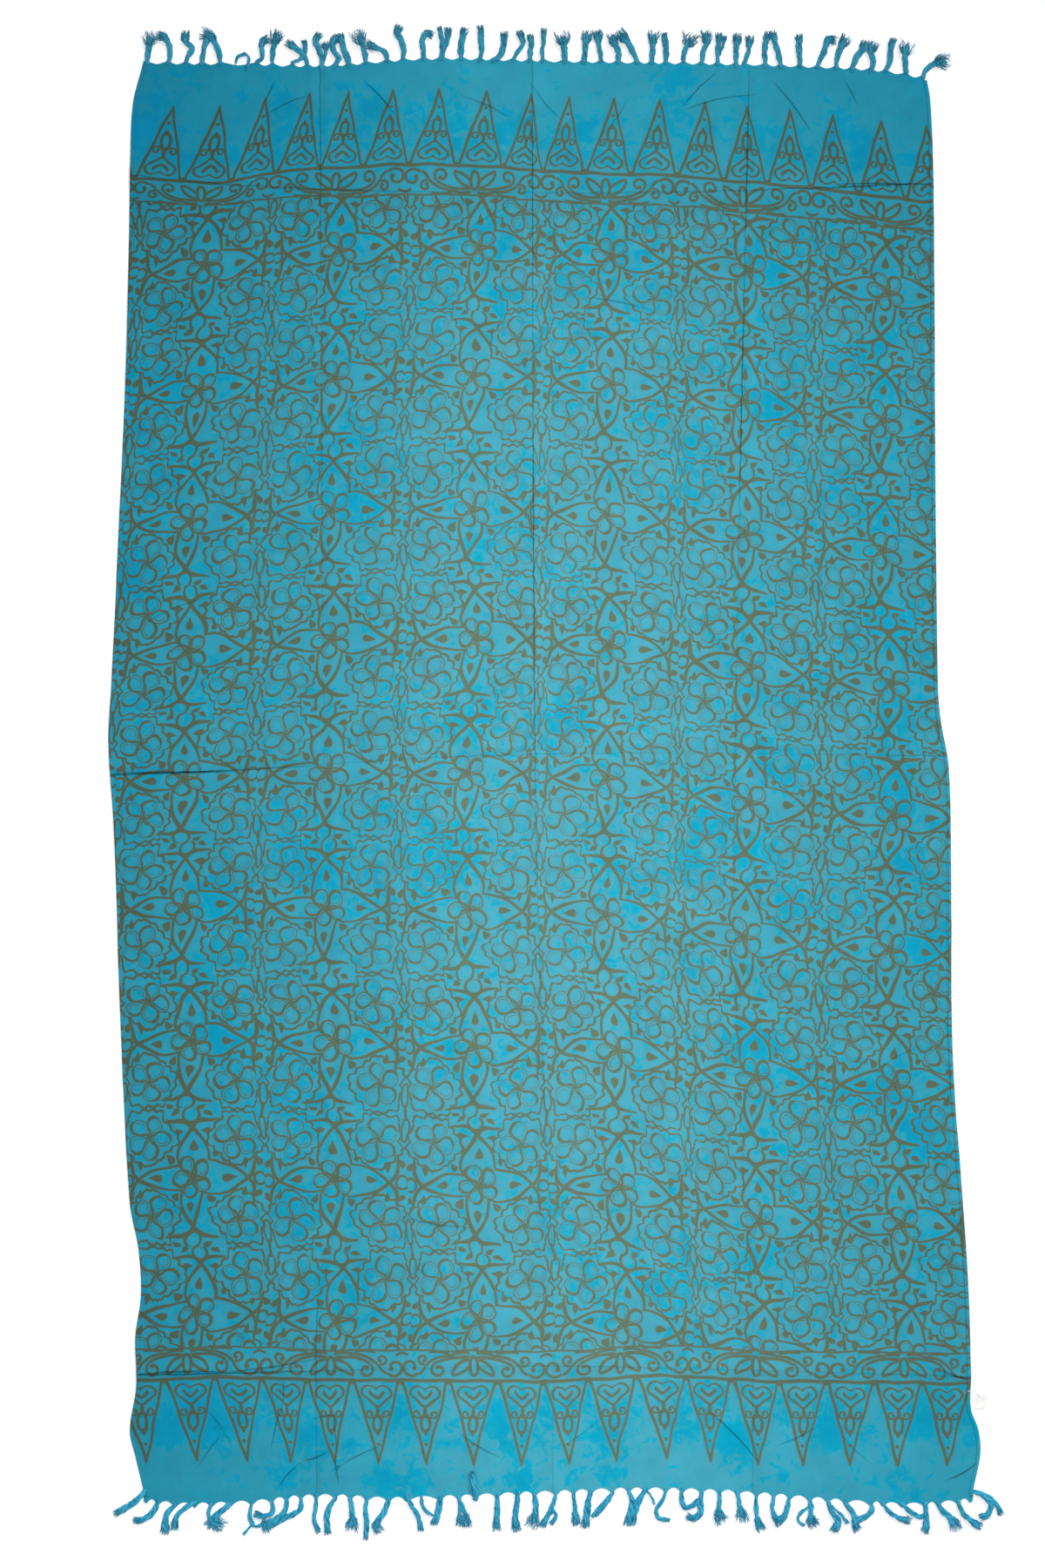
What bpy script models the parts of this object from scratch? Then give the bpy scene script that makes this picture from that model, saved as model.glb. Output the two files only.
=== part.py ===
"""Batik sarong laid flat: one printed length of rayon with rolled side hems and a twisted fringe at both ends.

X runs across the cloth, Y along it and Z up from the floor that it lies on. Every size in the constants and
tables is in millimetres, and MM turns it into Blender's metres where a vertex is placed. The cloth is a wall of
even thickness: it lies flat between its fold lines and stands up off the floor along them.
"""

import math
import random

import bmesh
import bpy
from mathutils import Vector

MM = 0.001

# Cloth wall and seams
CLOTH_THICKNESS = 1.0
SEAM_GAP = 0.3
HEM_WIDTH = 5.0
HEM_THICKNESS = 1.2
HEM_CROWN = 1.0  # how far the middle of a rolled hem stands above its edges
STRIP_WIDTH = 7.0  # woven end that the tassels grow from, measured at the bottom of a scallop
STRIP_THICKNESS = 1.2
SCALLOP_DEPTH = 4.5  # how far the end draws out to a point at each tassel
CORNER_SHARE = 0.6  # share of the scallop's depth that the strip has at its two corners

# Outer sides of the sarong: y along the cloth, x of the side
LEFT_SIDE = (
    (-892, -520),
    (-850, -530),
    (-818, -537),
    (-760, -529),
    (-700, -530),
    (-645, -523),
    (-590, -526),
    (-530, -537),
    (-300, -549),
    (-60, -557),
    (50, -564),
    (130, -560),
    (300, -552),
    (560, -541),
    (800, -536),
    (860, -533),
    (905, -521),
)
RIGHT_SIDE = (
    (-892, 528),
    (-845, 537),
    (-815, 534),
    (-790, 525),
    (-745, 525),
    (-640, 522),
    (-475, 511),
    (-400, 505),
    (-310, 501),
    (-110, 500),
    (20, 497),
    (85, 486),
    (140, 483),
    (430, 480),
    (740, 478),
    (860, 474),
    (900, 467),
)

# Ends of the sarong at the bottom of the scallops: x across the cloth, y of the end
TOP_END = (
    (-530, 908),
    (-382, 906),
    (-294, 904),
    (-162, 913),
    (0, 910),
    (190, 907),
    (322, 903),
    (410, 898),
    (474, 887),
)
BOTTOM_END = (
    (-522, -902),
    (-470, -908),
    (-382, -905),
    (-300, -897),
    (-206, -901),
    (-8, -893),
    (110, -889),
    (234, -893),
    (366, -904),
    (460, -908),
    (535, -901),
)

# Fold lines left from how the sarong was folded away. A ridge stands up along its line. A valley rests on the
# floor along its line, with a soft hump on either side. The route is (place along the fold, place across it).
FOLDS_ALONG = (
    # route (y, x)                                             kind      height  width
    (((-900, -301), (-640, -299), (-520, -276), (0, -291), (900, -297)), "valley", 2.2, 10),
    (((-900, -3), (-640, -3), (-386, -14), (0, -25), (900, -29)), "ridge", 2.6, 9),
    (((-900, 250), (-640, 248), (-400, 232), (0, 227), (900, 245)), "valley", 2.0, 10),
)
FOLDS_ACROSS = (
    # route (x, y)                                             kind      height  width
    (((-560, -748), (-300, -742), (0, -736), (560, -750)), "ridge", 2.4, 9),
    (((-570, 10), (-410, 16), (-114, 34), (168, 38), (500, 34)), "valley", 2.4, 11),
    (((-560, 770), (-420, 756), (-200, 747), (150, 746), (480, 757)), "ridge", 3.4, 13),
)
FOLD_UNEVENNESS = 0.35  # share by which a fold's height swells and sinks along it
FOLD_SWELL_LENGTH = 310.0
LINES_IN_FOLD = (-2, -1, 0, 1, 2)  # mesh lines laid along a fold, in widths either side of it

PLAIN_COLUMNS = 4  # mesh lines between one fold along the cloth and the next
PLAIN_ROWS = 9  # mesh lines between one fold across the cloth and the next
PLAIN_ROWS_AT_END = 3
CROSSING_ROUNDS = 6  # the lines are so nearly square to each other that this settles where they meet

# Tassels: one letter each, from left to right, and "." where one is missing
TASSELS_TOP = "ilsilhrihliillLlhirirriiiiilLiirriiiiliRrRsrrC"
TASSELS_BOTTOM = "cLlLsLiiilIlsIlRrlr.iilLriLiLsrLirrslsrrLRRiRRC"
TASSEL_KINDS = {
    # letter: (sideways lean of the tip, sideways bow of the middle, length)
    "i": (1, 1, 38),  # upright
    "I": (-1, -1, 47),  # upright and long
    "s": (3, 4, 36),  # bent to one side in the middle
    "h": (2, -2, 26),  # curled up short
    "l": (-8, 1, 37),
    "L": (-17, 1, 33),
    "r": (8, -1, 37),
    "R": (17, -1, 34),
    "c": (-38, -3, 27),  # left corner, fanned outwards
    "C": (33, 3, 30),  # right corner, fanned outwards
}
FIRST_TASSEL = 6.0  # from the side of the sarong to the middle of its first tassel
TASSEL_ROOT = 7.0  # width of the cloth gathered into one tassel
TASSEL_JITTER = 1.4  # most that a tassel stands off the even spacing
TASSEL_CLEARANCE = 14.0  # least distance between the middles of two tips
TIP_SPREADING_ROUNDS = 60
TASSEL_CURVE = 1.4  # power that keeps a leaning tassel upright at its root
TASSEL_LOOK_BACK = 0.02  # share of the length over which a tassel's direction is read
TASSEL_FLOOR_GAP = 0.4
TASSEL_SECTIONS = (
    # share of the length, width, depth
    (0.16, 7.6, 4.2),
    (0.40, 9.4, 5.0),
    (0.65, 8.8, 4.6),
    (0.88, 10.0, 4.8),
    (1.00, 7.0, 3.2),
)
WALL_FACING = 0.9  # least share of a root face's normal that points away from the cloth
SEED_TOP = 3
SEED_BOTTOM = 8

# Care label sewn to the right hem
LABEL_WIDTH = 19.0
LABEL_HEIGHT = 20.0
LABEL_THICKNESS = 1.0
LABEL_Y = -779.0
LABEL_SAMPLES = 10  # places along the label where the hem beside it is measured

# name: (hex colour, roughness)
FINISHES = {
    "dyed rayon": ("3FA5C3", 0.85),
    "rolled rayon edge": ("2A8CB0", 0.85),
    "twisted rayon yarn": ("2787AB", 0.9),
    "white label satin": ("F2F2F0", 0.6),
}


def clear_scene():
    for thing in list(bpy.data.objects):
        bpy.data.objects.remove(thing, do_unlink=True)


def linear(channel):
    return channel / 12.92 if channel <= 0.04045 else ((channel + 0.055) / 1.055) ** 2.4


def material(name):
    """A Principled material with the colour and roughness that FINISHES gives."""
    colour, roughness = FINISHES[name]
    made = bpy.data.materials.get(name) or bpy.data.materials.new(name)
    made.use_nodes = True
    shader = made.node_tree.nodes["Principled BSDF"]
    rgb = [linear(int(colour[i : i + 2], 16) / 255) for i in (0, 2, 4)]
    shader.inputs["Base Color"].default_value = (*rgb, 1)
    shader.inputs["Roughness"].default_value = roughness
    shader.inputs["Metallic"].default_value = 0
    return made


def smooth_value(route, at):
    """Value at `at` on the smooth curve through a table of (place, value) rows, level past its two ends."""
    if at <= route[0][0]:
        return route[0][1]
    for i in range(len(route) - 1):
        (a, start), (b, end) = route[i], route[i + 1]
        if at <= b:
            before, after = route[max(i - 1, 0)], route[min(i + 2, len(route) - 1)]
            span = b - a
            leaving = (end - before[1]) / (b - before[0]) * span
            arriving = (after[1] - start) / (after[0] - a) * span
            t = (at - a) / span
            rise = t * t * (3 - 2 * t)
            return (
                start * (1 - rise)
                + end * rise
                + leaving * t * (1 - t) ** 2
                - arriving * t * t * (1 - t)
            )
    return route[-1][1]


def hump(distance):
    """Soft rise of height 1 that is level with the floor from one unit away."""
    return 0.5 + 0.5 * math.cos(math.pi * distance) if abs(distance) < 1 else 0.0


def fold_height(fold, along, across):
    route, kind, height, width = fold
    off = abs(across - smooth_value(route, along)) / width
    swell = 1 + FOLD_UNEVENNESS * math.sin(2 * math.pi * along / FOLD_SWELL_LENGTH + height)
    shape = hump(off / 2) if kind == "ridge" else hump(off - 1)
    return height * swell * shape


def lift(x, y):
    """How far the underside of the cloth stands off the floor. Where folds cross, the higher one wins."""
    along = [fold_height(fold, y, x) for fold in FOLDS_ALONG]
    across = [fold_height(fold, x, y) for fold in FOLDS_ACROSS]
    return max(along + across)


def top_end(x):
    return smooth_value(TOP_END, x)


def bottom_end(x):
    return smooth_value(BOTTOM_END, x)


def cloth_left(y):
    return smooth_value(LEFT_SIDE, y) + HEM_WIDTH + SEAM_GAP


def cloth_right(y):
    return smooth_value(RIGHT_SIDE, y) - HEM_WIDTH - SEAM_GAP


def cloth_top(x):
    return top_end(x) - STRIP_WIDTH - SEAM_GAP


def cloth_bottom(x):
    return bottom_end(x) + STRIP_WIDTH + SEAM_GAP


def between(low, high, share):
    return lambda at: low(at) * (1 - share) + high(at) * share


def mesh_lines(first, folds, last, plain_counts):
    """Lines from one side of the cloth to the other, five along each fold and plain ones spread between."""
    groups = [[first]]
    for route, _, _, width in folds:
        groups.append(
            [lambda at, r=route, o=k * width: smooth_value(r, at) + o for k in LINES_IN_FOLD]
        )
    groups.append([last])
    lines = list(groups[0])
    for group, plain in zip(groups[1:], plain_counts):
        lines += [between(lines[-1], group[0], (k + 1) / (plain + 1)) for k in range(plain)] + group
    return lines


def crossing(column, row):
    """Point where a line along the cloth meets a line across it."""
    x, y = 0.0, 0.0
    for _ in range(CROSSING_ROUNDS):
        x, y = column(y), row(x)
    return x, y


def edge_points(edge, lines):
    """Points where the mesh lines of the cloth meet one of its edges."""
    return [crossing(edge, line) for line in lines]


def straight_value(points, at):
    """Value at `at` on the straight stretches between (place, value) points, level past the two ends."""
    for (a, start), (b, end) in zip(points, points[1:]):
        if at <= b:
            return start + (end - start) * max(0.0, at - a) / (b - a)
    return points[-1][1]


def grid(columns, rows, place):
    """Sheet of columns x rows points, facing up, with each point put where place(column, row) says."""
    sheet = bmesh.new()
    bmesh.ops.create_grid(sheet, x_segments=columns - 1, y_segments=rows - 1, size=1)
    for vertex in sheet.verts:
        column = round((vertex.co.x + 1) / 2 * (columns - 1))
        row = round((vertex.co.y + 1) / 2 * (rows - 1))
        vertex.co = Vector(place(column, row)) * MM
    return sheet


def face_outwards(solid):
    bmesh.ops.recalc_face_normals(solid, faces=solid.faces[:])
    if solid.calc_volume(signed=True) < 0:
        bmesh.ops.reverse_faces(solid, faces=solid.faces[:])


def raise_walls(sheet, height_at):
    """Makes a sheet solid: its faces stay as the underside, and a copy of each point goes up by height_at."""
    raised = bmesh.ops.extrude_face_region(sheet, geom=sheet.faces[:])["geom"]
    for vertex in [part for part in raised if isinstance(part, bmesh.types.BMVert)]:
        vertex.co.z += height_at(vertex.co / MM) * MM
    face_outwards(sheet)


def finish(sheet, name, finish_name):
    """Turns a bmesh into a named object of the sarong's collection."""
    data = bpy.data.meshes.new(name)
    sheet.to_mesh(data)
    sheet.free()
    data.materials.append(material(finish_name))
    thing = bpy.data.objects.new(name, data)
    bpy.data.collections["batik_sarong"].objects.link(thing)
    return thing


def cloth_lines():
    columns = mesh_lines(cloth_left, FOLDS_ALONG, cloth_right, (PLAIN_COLUMNS,) * 4)
    row_counts = (PLAIN_ROWS_AT_END, PLAIN_ROWS, PLAIN_ROWS, PLAIN_ROWS_AT_END)
    rows = mesh_lines(cloth_bottom, FOLDS_ACROSS, cloth_top, row_counts)
    return columns, rows


def make_cloth():
    """The printed panel: an open sheet on the fold lines, given its wall by Solidify."""
    columns, rows = cloth_lines()

    def place(column, row):
        x, y = crossing(columns[column], rows[row])
        return x, y, lift(x, y)

    cloth = finish(grid(len(columns), len(rows), place), "cloth", "dyed rayon")
    wall = cloth.modifiers.new("cloth wall", "SOLIDIFY")
    wall.thickness = CLOTH_THICKNESS * MM
    wall.offset = 1
    return cloth


def make_hem(name, side):
    """Rolled edge outside the panel: side is the outline's table, and its rows are the panel's own."""
    _, rows = cloth_lines()
    inward = 1 if side is LEFT_SIDE else -1

    def place(column, row):
        def edge(y):
            return smooth_value(side, y) + inward * HEM_WIDTH * column / 2

        x, y = crossing(edge, rows[row])
        return x, y, lift(x, y)

    def thickness(point):
        off = abs(point.x - smooth_value(side, point.y))
        return HEM_THICKNESS + HEM_CROWN * hump(2 * off / HEM_WIDTH - 1)

    hem = grid(3, len(rows), place)
    raise_walls(hem, thickness)
    return finish(hem, name, "rolled rayon edge")


def tassel_layout(chart, seed, end):
    """A row for each tassel of one end: kind, x of the root and x of the tip, with the tips spread clear."""
    left = smooth_value(LEFT_SIDE, end(0)) + FIRST_TASSEL
    right = smooth_value(RIGHT_SIDE, end(0)) - FIRST_TASSEL
    pitch = (right - left) / (len(chart) - 1)
    draw = random.Random(seed)
    tassels = []
    for i, kind in enumerate(chart):
        inner = 0 < i < len(chart) - 1
        root = left + pitch * i + draw.uniform(-1, 1) * TASSEL_JITTER * inner
        if kind != ".":
            tassels.append({"kind": kind, "root": root, "tip": root + TASSEL_KINDS[kind][0]})
    for _ in range(TIP_SPREADING_ROUNDS):
        for near, far in zip(tassels, tassels[1:]):
            push = max(0.0, TASSEL_CLEARANCE - (far["tip"] - near["tip"])) / 2
            near["tip"] -= push
            far["tip"] += push
    return tassels


def tassel_path(tassel, root_y, outward, share):
    """Middle of a tassel, seen from above, at a share of its length."""
    _, bow, length = TASSEL_KINDS[tassel["kind"]]
    lean = tassel["tip"] - tassel["root"]
    x = tassel["root"] + lean * share**TASSEL_CURVE + bow * math.sin(math.pi * share)
    return Vector((x, root_y + outward * length * share, 0))


def corner_turns(face, across):
    """Angle of each corner of a root face, seen along the tassel: two on either side, one above the other."""
    centre = face.calc_center_median()
    turns = []
    for vertex in face.verts:
        side = math.copysign(1, (vertex.co - centre).dot(across))
        partner = next(
            other
            for other in face.verts
            if other is not vertex and (other.co - centre).dot(across) * side > 0
        )
        turns.append(math.atan2(1 if vertex.co.z > partner.co.z else -1, side))
    return turns


def grow_tassel(strip, face, tassel, outward):
    """Draws one tassel out of its root face, as a four-sided lock standing just off the floor."""
    root = face.calc_center_median() / MM
    turns = corner_turns(face, Vector((outward, 0, 0)))
    for share, width, depth in TASSEL_SECTIONS:
        face = bmesh.ops.extrude_discrete_faces(strip, faces=[face])["faces"][0]
        middle = tassel_path(tassel, root.y, outward, share)
        ahead = middle - tassel_path(tassel, root.y, outward, share - TASSEL_LOOK_BACK)
        across = ahead.normalized().cross(Vector((0, 0, 1)))
        middle.z = TASSEL_FLOOR_GAP + depth / 2
        for vertex, turn in zip(face.verts, turns):
            angle = turn + math.pi / 4
            sideways = across * (math.cos(angle) * width / 2)
            vertex.co = (middle + sideways + Vector((0, 0, math.sin(angle) * depth / 2))) * MM


def strip_stations(tassels, left, right):
    """x of the strip's mesh lines, and which of them start a tassel's root."""
    stations, roots = [left], {}
    for near, far in zip(tassels, tassels[1:] + [None]):
        roots[len(stations)] = near
        stations += [near["root"] - TASSEL_ROOT / 2, near["root"] + TASSEL_ROOT / 2]
        if far:
            stations.append((near["root"] + far["root"]) / 2)
    return stations + [right], roots


def make_fringe(name, chart, seed, end, outward):
    """The woven end past the panel: a scalloped strip with a tassel drawn out of each of its points."""
    tassels = tassel_layout(chart, seed, end)
    left = smooth_value(LEFT_SIDE, end(0))
    right = smooth_value(RIGHT_SIDE, end(0))
    stations, roots = strip_stations(tassels, left, right)
    cloth_edge = cloth_top if outward > 0 else cloth_bottom
    seam = [crossing(column, cloth_edge) for column in cloth_lines()[0]]

    def place(column, row):
        x = stations[column]
        y = straight_value(seam, x) + outward * SEAM_GAP
        if row:
            at_root = column in roots or column - 1 in roots
            at_corner = column in (0, len(stations) - 1)
            drawn_out = 1 if at_root else CORNER_SHARE if at_corner else 0
            y = end(x) + outward * SCALLOP_DEPTH * drawn_out
        return x, y, lift(x, y)

    strip = grid(len(stations), 2, place)
    raise_walls(strip, lambda point: STRIP_THICKNESS)
    for column, tassel in roots.items():
        grow_tassel(strip, root_face(strip, stations[column], outward), tassel, outward)
    face_outwards(strip)
    return finish(strip, name, "twisted rayon yarn")


def root_face(strip, start, outward):
    """The strip's outer wall face that begins at x = start."""
    middle = start + TASSEL_ROOT / 2
    walls = [face for face in strip.faces if face.normal.y * outward > WALL_FACING]
    return min(walls, key=lambda face: abs(face.calc_center_median().x / MM - middle))


def make_label():
    """Plain label whose inner edge meets the right hem."""
    outline = edge_points(lambda y: smooth_value(RIGHT_SIDE, y), cloth_lines()[1])
    steps = range(LABEL_SAMPLES + 1)
    beside = [LABEL_Y + LABEL_HEIGHT * (k / LABEL_SAMPLES - 0.5) for k in steps]
    hem = max(straight_value([(y, x) for x, y in outline], y) for y in beside)
    label = bmesh.new()
    bmesh.ops.create_cube(label, size=1)
    size = Vector((LABEL_WIDTH, LABEL_HEIGHT, LABEL_THICKNESS))
    middle = Vector((hem + SEAM_GAP + LABEL_WIDTH / 2, LABEL_Y, LABEL_THICKNESS / 2))
    for vertex in label.verts:
        vertex.co = (vertex.co * size + middle) * MM
    return finish(label, "label", "white label satin")


def main():
    clear_scene()
    sarong = bpy.data.collections.new("batik_sarong")
    bpy.context.scene.collection.children.link(sarong)
    make_cloth()
    make_hem("side_hem_left", LEFT_SIDE)
    make_hem("side_hem_right", RIGHT_SIDE)
    make_fringe("fringe_top", TASSELS_TOP, SEED_TOP, top_end, 1)
    make_fringe("fringe_bottom", TASSELS_BOTTOM, SEED_BOTTOM, bottom_end, -1)
    make_label()


main()
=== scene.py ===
# %% [markdown]
# # A batik sarong, laid flat
#
# A sarong is one length of light rayon with a printed and dyed pattern, narrow rolled side hems and a
# fringe twisted from its own yarn at both ends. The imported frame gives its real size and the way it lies.
# This lesson dresses that frame: a thin creased shell for the cloth, procedural dye and print, stitched
# hems, twisted yarn and a small satin label. The frame comes first, because every piece is placed from it.

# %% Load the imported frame
import math
import random

import bpy
import numpy as np
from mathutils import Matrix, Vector


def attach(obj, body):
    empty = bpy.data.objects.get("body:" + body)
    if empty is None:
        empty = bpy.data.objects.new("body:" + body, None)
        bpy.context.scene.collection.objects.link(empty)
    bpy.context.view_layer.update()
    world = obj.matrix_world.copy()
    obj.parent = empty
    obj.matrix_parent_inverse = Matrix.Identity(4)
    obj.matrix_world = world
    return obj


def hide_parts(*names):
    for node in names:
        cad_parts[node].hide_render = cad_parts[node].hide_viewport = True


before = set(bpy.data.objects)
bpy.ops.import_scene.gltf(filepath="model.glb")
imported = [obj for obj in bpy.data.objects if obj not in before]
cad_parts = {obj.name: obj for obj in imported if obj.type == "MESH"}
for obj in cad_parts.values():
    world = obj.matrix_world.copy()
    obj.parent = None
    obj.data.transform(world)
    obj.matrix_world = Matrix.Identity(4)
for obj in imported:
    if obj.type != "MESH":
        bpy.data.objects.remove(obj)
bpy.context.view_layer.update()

MM = 0.001

# %% [markdown]
# ## Camera, floor and light
#
# A flat textile is shown from straight above, through a long lens, so that its edges aren't bent. The floor
# is plain and pale. A round panel above the middle gives most of the light, so the cloth is brightest
# there. One wide lamp from one side gives the creases their soft shading, and an even white sky fills the
# shadows. A single hard lamp would show creases better, but it would make the yarn look like wire.

# %% Camera straight above
VIEW_HEIGHT = 1.98
VIEW_CENTRE = (-0.04125, -0.0011)
CAMERA_HEIGHT = 5.5
SENSOR = 36.0


def new_object(name, data):
    """An object in the scene that shows some data."""
    made = bpy.data.objects.new(name, data)
    bpy.context.scene.collection.objects.link(made)
    return made


lens = bpy.data.cameras.new("camera")
lens.sensor_width = SENSOR
lens.lens = SENSOR * CAMERA_HEIGHT / VIEW_HEIGHT
camera = new_object("camera", lens)
camera.location = (*VIEW_CENTRE, CAMERA_HEIGHT)
bpy.context.scene.camera = camera
print("lens:", round(lens.lens, 1), "mm")


# %% Helpers for nodes, colours and meshes
def linear(hex_colour):
    """Linear RGBA of an sRGB hex colour."""
    channels = [int(hex_colour[i : i + 2], 16) / 255 for i in (1, 3, 5)]
    return (*[c / 12.92 if c <= 0.04045 else ((c + 0.055) / 1.055) ** 2.4 for c in channels], 1)


# Arithmetic nodes, each as its type and its operation, with names in the order of the operations
MATH_NAMES = "ADD SUBTRACT MULTIPLY DIVIDE MULTIPLY_ADD POWER FRACT WRAP MINIMUM MAXIMUM SMOOTH_MIN"
TURN_NAMES = "GREATER_THAN ABSOLUTE SINE COSINE ARCTAN2 DEGREES"
VECTOR_NAMES = "ADD SUBTRACT MULTIPLY MULTIPLY_ADD SCALE LENGTH DISTANCE ABSOLUTE SIGN FLOOR WRAP"
PLUS, MINUS, TIMES, OVER, TIMES_PLUS, POWER, FRACTION, WRAPPED, LEAST, MOST, SOFT_LEAST = [
    ("ShaderNodeMath", operation) for operation in MATH_NAMES.split()
]
ABOVE, SIZE, SINE, COSINE, BEARING, DEGREES = [
    ("ShaderNodeMath", operation) for operation in TURN_NAMES.split()
]
V_PLUS, V_MINUS, V_TIMES, V_TIMES_PLUS, V_SCALED, V_LENGTH, V_APART, V_SIZE, V_SIGN, V_FLOOR, V_WRAPPED = [
    ("ShaderNodeVectorMath", operation) for operation in VECTOR_NAMES.split()
]

# Other nodes that are used often
SEPARATE, COMBINE = "ShaderNodeSeparateXYZ", "ShaderNodeCombineXYZ"
RANGE, MIX, NOISE = "ShaderNodeMapRange", "ShaderNodeMix", "ShaderNodeTexNoise"
MAPPING, BUMP, STORED = "ShaderNodeMapping", "ShaderNodeBump", "ShaderNodeAttribute"


def add(tree, kind, *values, named=None, **settings):
    """Adds one node. Its kind is a type, or a pair of a type and an operation. Settings go to its properties,
    values to the inputs that it shows, in order, and named values to inputs by name. A node stands for its
    first shown output, and None leaves an input alone."""
    if isinstance(kind, tuple):
        kind, settings["operation"] = kind
    made = tree.nodes.new(kind)
    for name, value in settings.items():
        setattr(made, name, value)
    shown = [socket for socket in made.inputs if socket.enabled]
    filled = list(zip(shown, values))
    for name, value in (named or {}).items():
        filled.append((next(socket for socket in shown if socket.name == name), value))
    for socket, value in filled:
        if isinstance(value, bpy.types.Node):
            value = next(output for output in value.outputs if output.enabled)
        if isinstance(value, bpy.types.NodeSocket):
            tree.links.new(value, socket)
        elif value is not None:
            socket.default_value = value
    return made


def new_material(name):
    """An empty material and its node tree."""
    made = bpy.data.materials.new(name)
    made.use_nodes = True
    made.node_tree.nodes.clear()
    return made, made.node_tree


def new_piece(name, points, faces):
    """A smooth mesh object made from points in metres."""
    mesh = bpy.data.meshes.new(name)
    mesh.from_pydata(points, [], faces)
    mesh.shade_smooth()
    return new_object(name, mesh)


def settle(piece):
    """Turns a piece with its modifiers into a plain mesh, and removes the modifiers."""
    graph = bpy.context.evaluated_depsgraph_get()
    mesh = bpy.data.meshes.new_from_object(piece.evaluated_get(graph), depsgraph=graph)
    mesh.name = piece.name
    if piece.type == "MESH":
        piece.modifiers.clear()
        piece.data = mesh
        return piece
    name = piece.name
    bpy.data.objects.remove(piece)
    return new_object(name, mesh)


# %% Floor
FLOOR_SIDE = 8.0
FLOOR_DROP = 0.0003  # keeps the floor just under what lies on it
FLOOR_GLOW = 0.12  # the paper lets a little light through from below, so shadows stay faint

paint, tree = new_material("matt white studio paint")
speckle = add(tree, NOISE, named={"Scale": 60.0, "Detail": 3.0})
tone = add(tree, MIX, speckle, linear("#F7F7F8"), linear("#FBFBFB"), data_type="RGBA")
shader = add(tree, "ShaderNodeBsdfPrincipled", tone, named={"Roughness": 0.95, "IOR": 1.3})
shader.inputs["Emission Color"].default_value = (1, 1, 1, 1)
shader.inputs["Emission Strength"].default_value = FLOOR_GLOW
add(tree, "ShaderNodeOutputMaterial", shader)

corner = FLOOR_SIDE / 2
corners = [(-corner, -corner), (corner, -corner), (corner, corner), (-corner, corner)]
floor = new_piece("floor", [(x, y, -FLOOR_DROP) for x, y in corners], [(0, 1, 2, 3)])
floor.data.materials.append(paint)
print("floor:", FLOOR_SIDE, "m square")

# %% Light
SKY_STRENGTH = 0.46
LAMP_STRENGTH = 1.35
LAMP_TILT = 52  # degrees from straight down, low enough to shade the creases
LAMP_TURN = -35  # degrees round from the top of the view
LAMP_SPREAD = 14  # degrees across: a wide soft box
OVERHEAD_PLACE = (0.06, -0.02, 2.5)  # metres
OVERHEAD_SIDE = 1.1
OVERHEAD_WATTS = 32.0

world = bpy.data.worlds.new("even white sky")
bpy.context.scene.world = world
world.use_nodes = True
world.node_tree.nodes.clear()
sky = add(world.node_tree, "ShaderNodeBackground", (1, 1, 1, 1), SKY_STRENGTH)
add(world.node_tree, "ShaderNodeOutputWorld", sky)
lamp_data = bpy.data.lights.new("soft box", "SUN")
lamp_data.energy = LAMP_STRENGTH
lamp_data.angle = math.radians(LAMP_SPREAD)
lamp = new_object("soft box", lamp_data)
lamp.rotation_euler = (math.radians(-LAMP_TILT), 0, math.radians(LAMP_TURN))
overhead_data = bpy.data.lights.new("overhead panel", "AREA")
overhead_data.shape = "DISK"
overhead_data.size = OVERHEAD_SIDE
overhead_data.energy = OVERHEAD_WATTS
overhead = new_object("overhead panel", overhead_data)
overhead.location = OVERHEAD_PLACE
bpy.context.scene.view_settings.view_transform = "Standard"
print("lamp tilted by", LAMP_TILT, "degrees, overhead panel at", OVERHEAD_PLACE[2], "m")

# %% [markdown]
# ## The outline and the folds
#
# Cloth that has been folded away keeps its fold lines, and its sides wander by a centimetre or two when it
# is laid out. Both are smooth curves through a few measured places, so a table and one curve function hold
# them. Sculpting them by hand would also work, but could not be changed by a number. The tables are the
# frame's own, in millimetres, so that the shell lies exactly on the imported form.

# %% Sides and ends, in millimetres
HEM_WIDTH = 5.0
LEFT_SIDE = (
    # y, x
    (-892, -520), (-850, -530), (-818, -537), (-760, -529), (-700, -530), (-645, -523), (-590, -526),
    (-530, -537), (-300, -549), (-60, -557), (50, -564), (130, -560), (300, -552), (560, -541), (800, -536),
    (860, -533), (905, -521),
)
RIGHT_SIDE = (
    # y, x
    (-892, 528), (-845, 537), (-815, 534), (-790, 525), (-745, 525), (-640, 522), (-475, 511), (-400, 505),
    (-310, 501), (-110, 500), (20, 497), (85, 486), (140, 483), (430, 480), (740, 478), (860, 474),
    (900, 467),
)
TOP_END = (
    # x, y
    (-530, 908), (-382, 906), (-294, 904), (-162, 913), (0, 910), (190, 907), (322, 903), (410, 898),
    (474, 887),
)
BOTTOM_END = (
    # x, y
    (-522, -902), (-470, -908), (-382, -905), (-300, -897), (-206, -901), (-8, -893), (110, -889),
    (234, -893), (366, -904), (460, -908), (535, -901),
)


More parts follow.
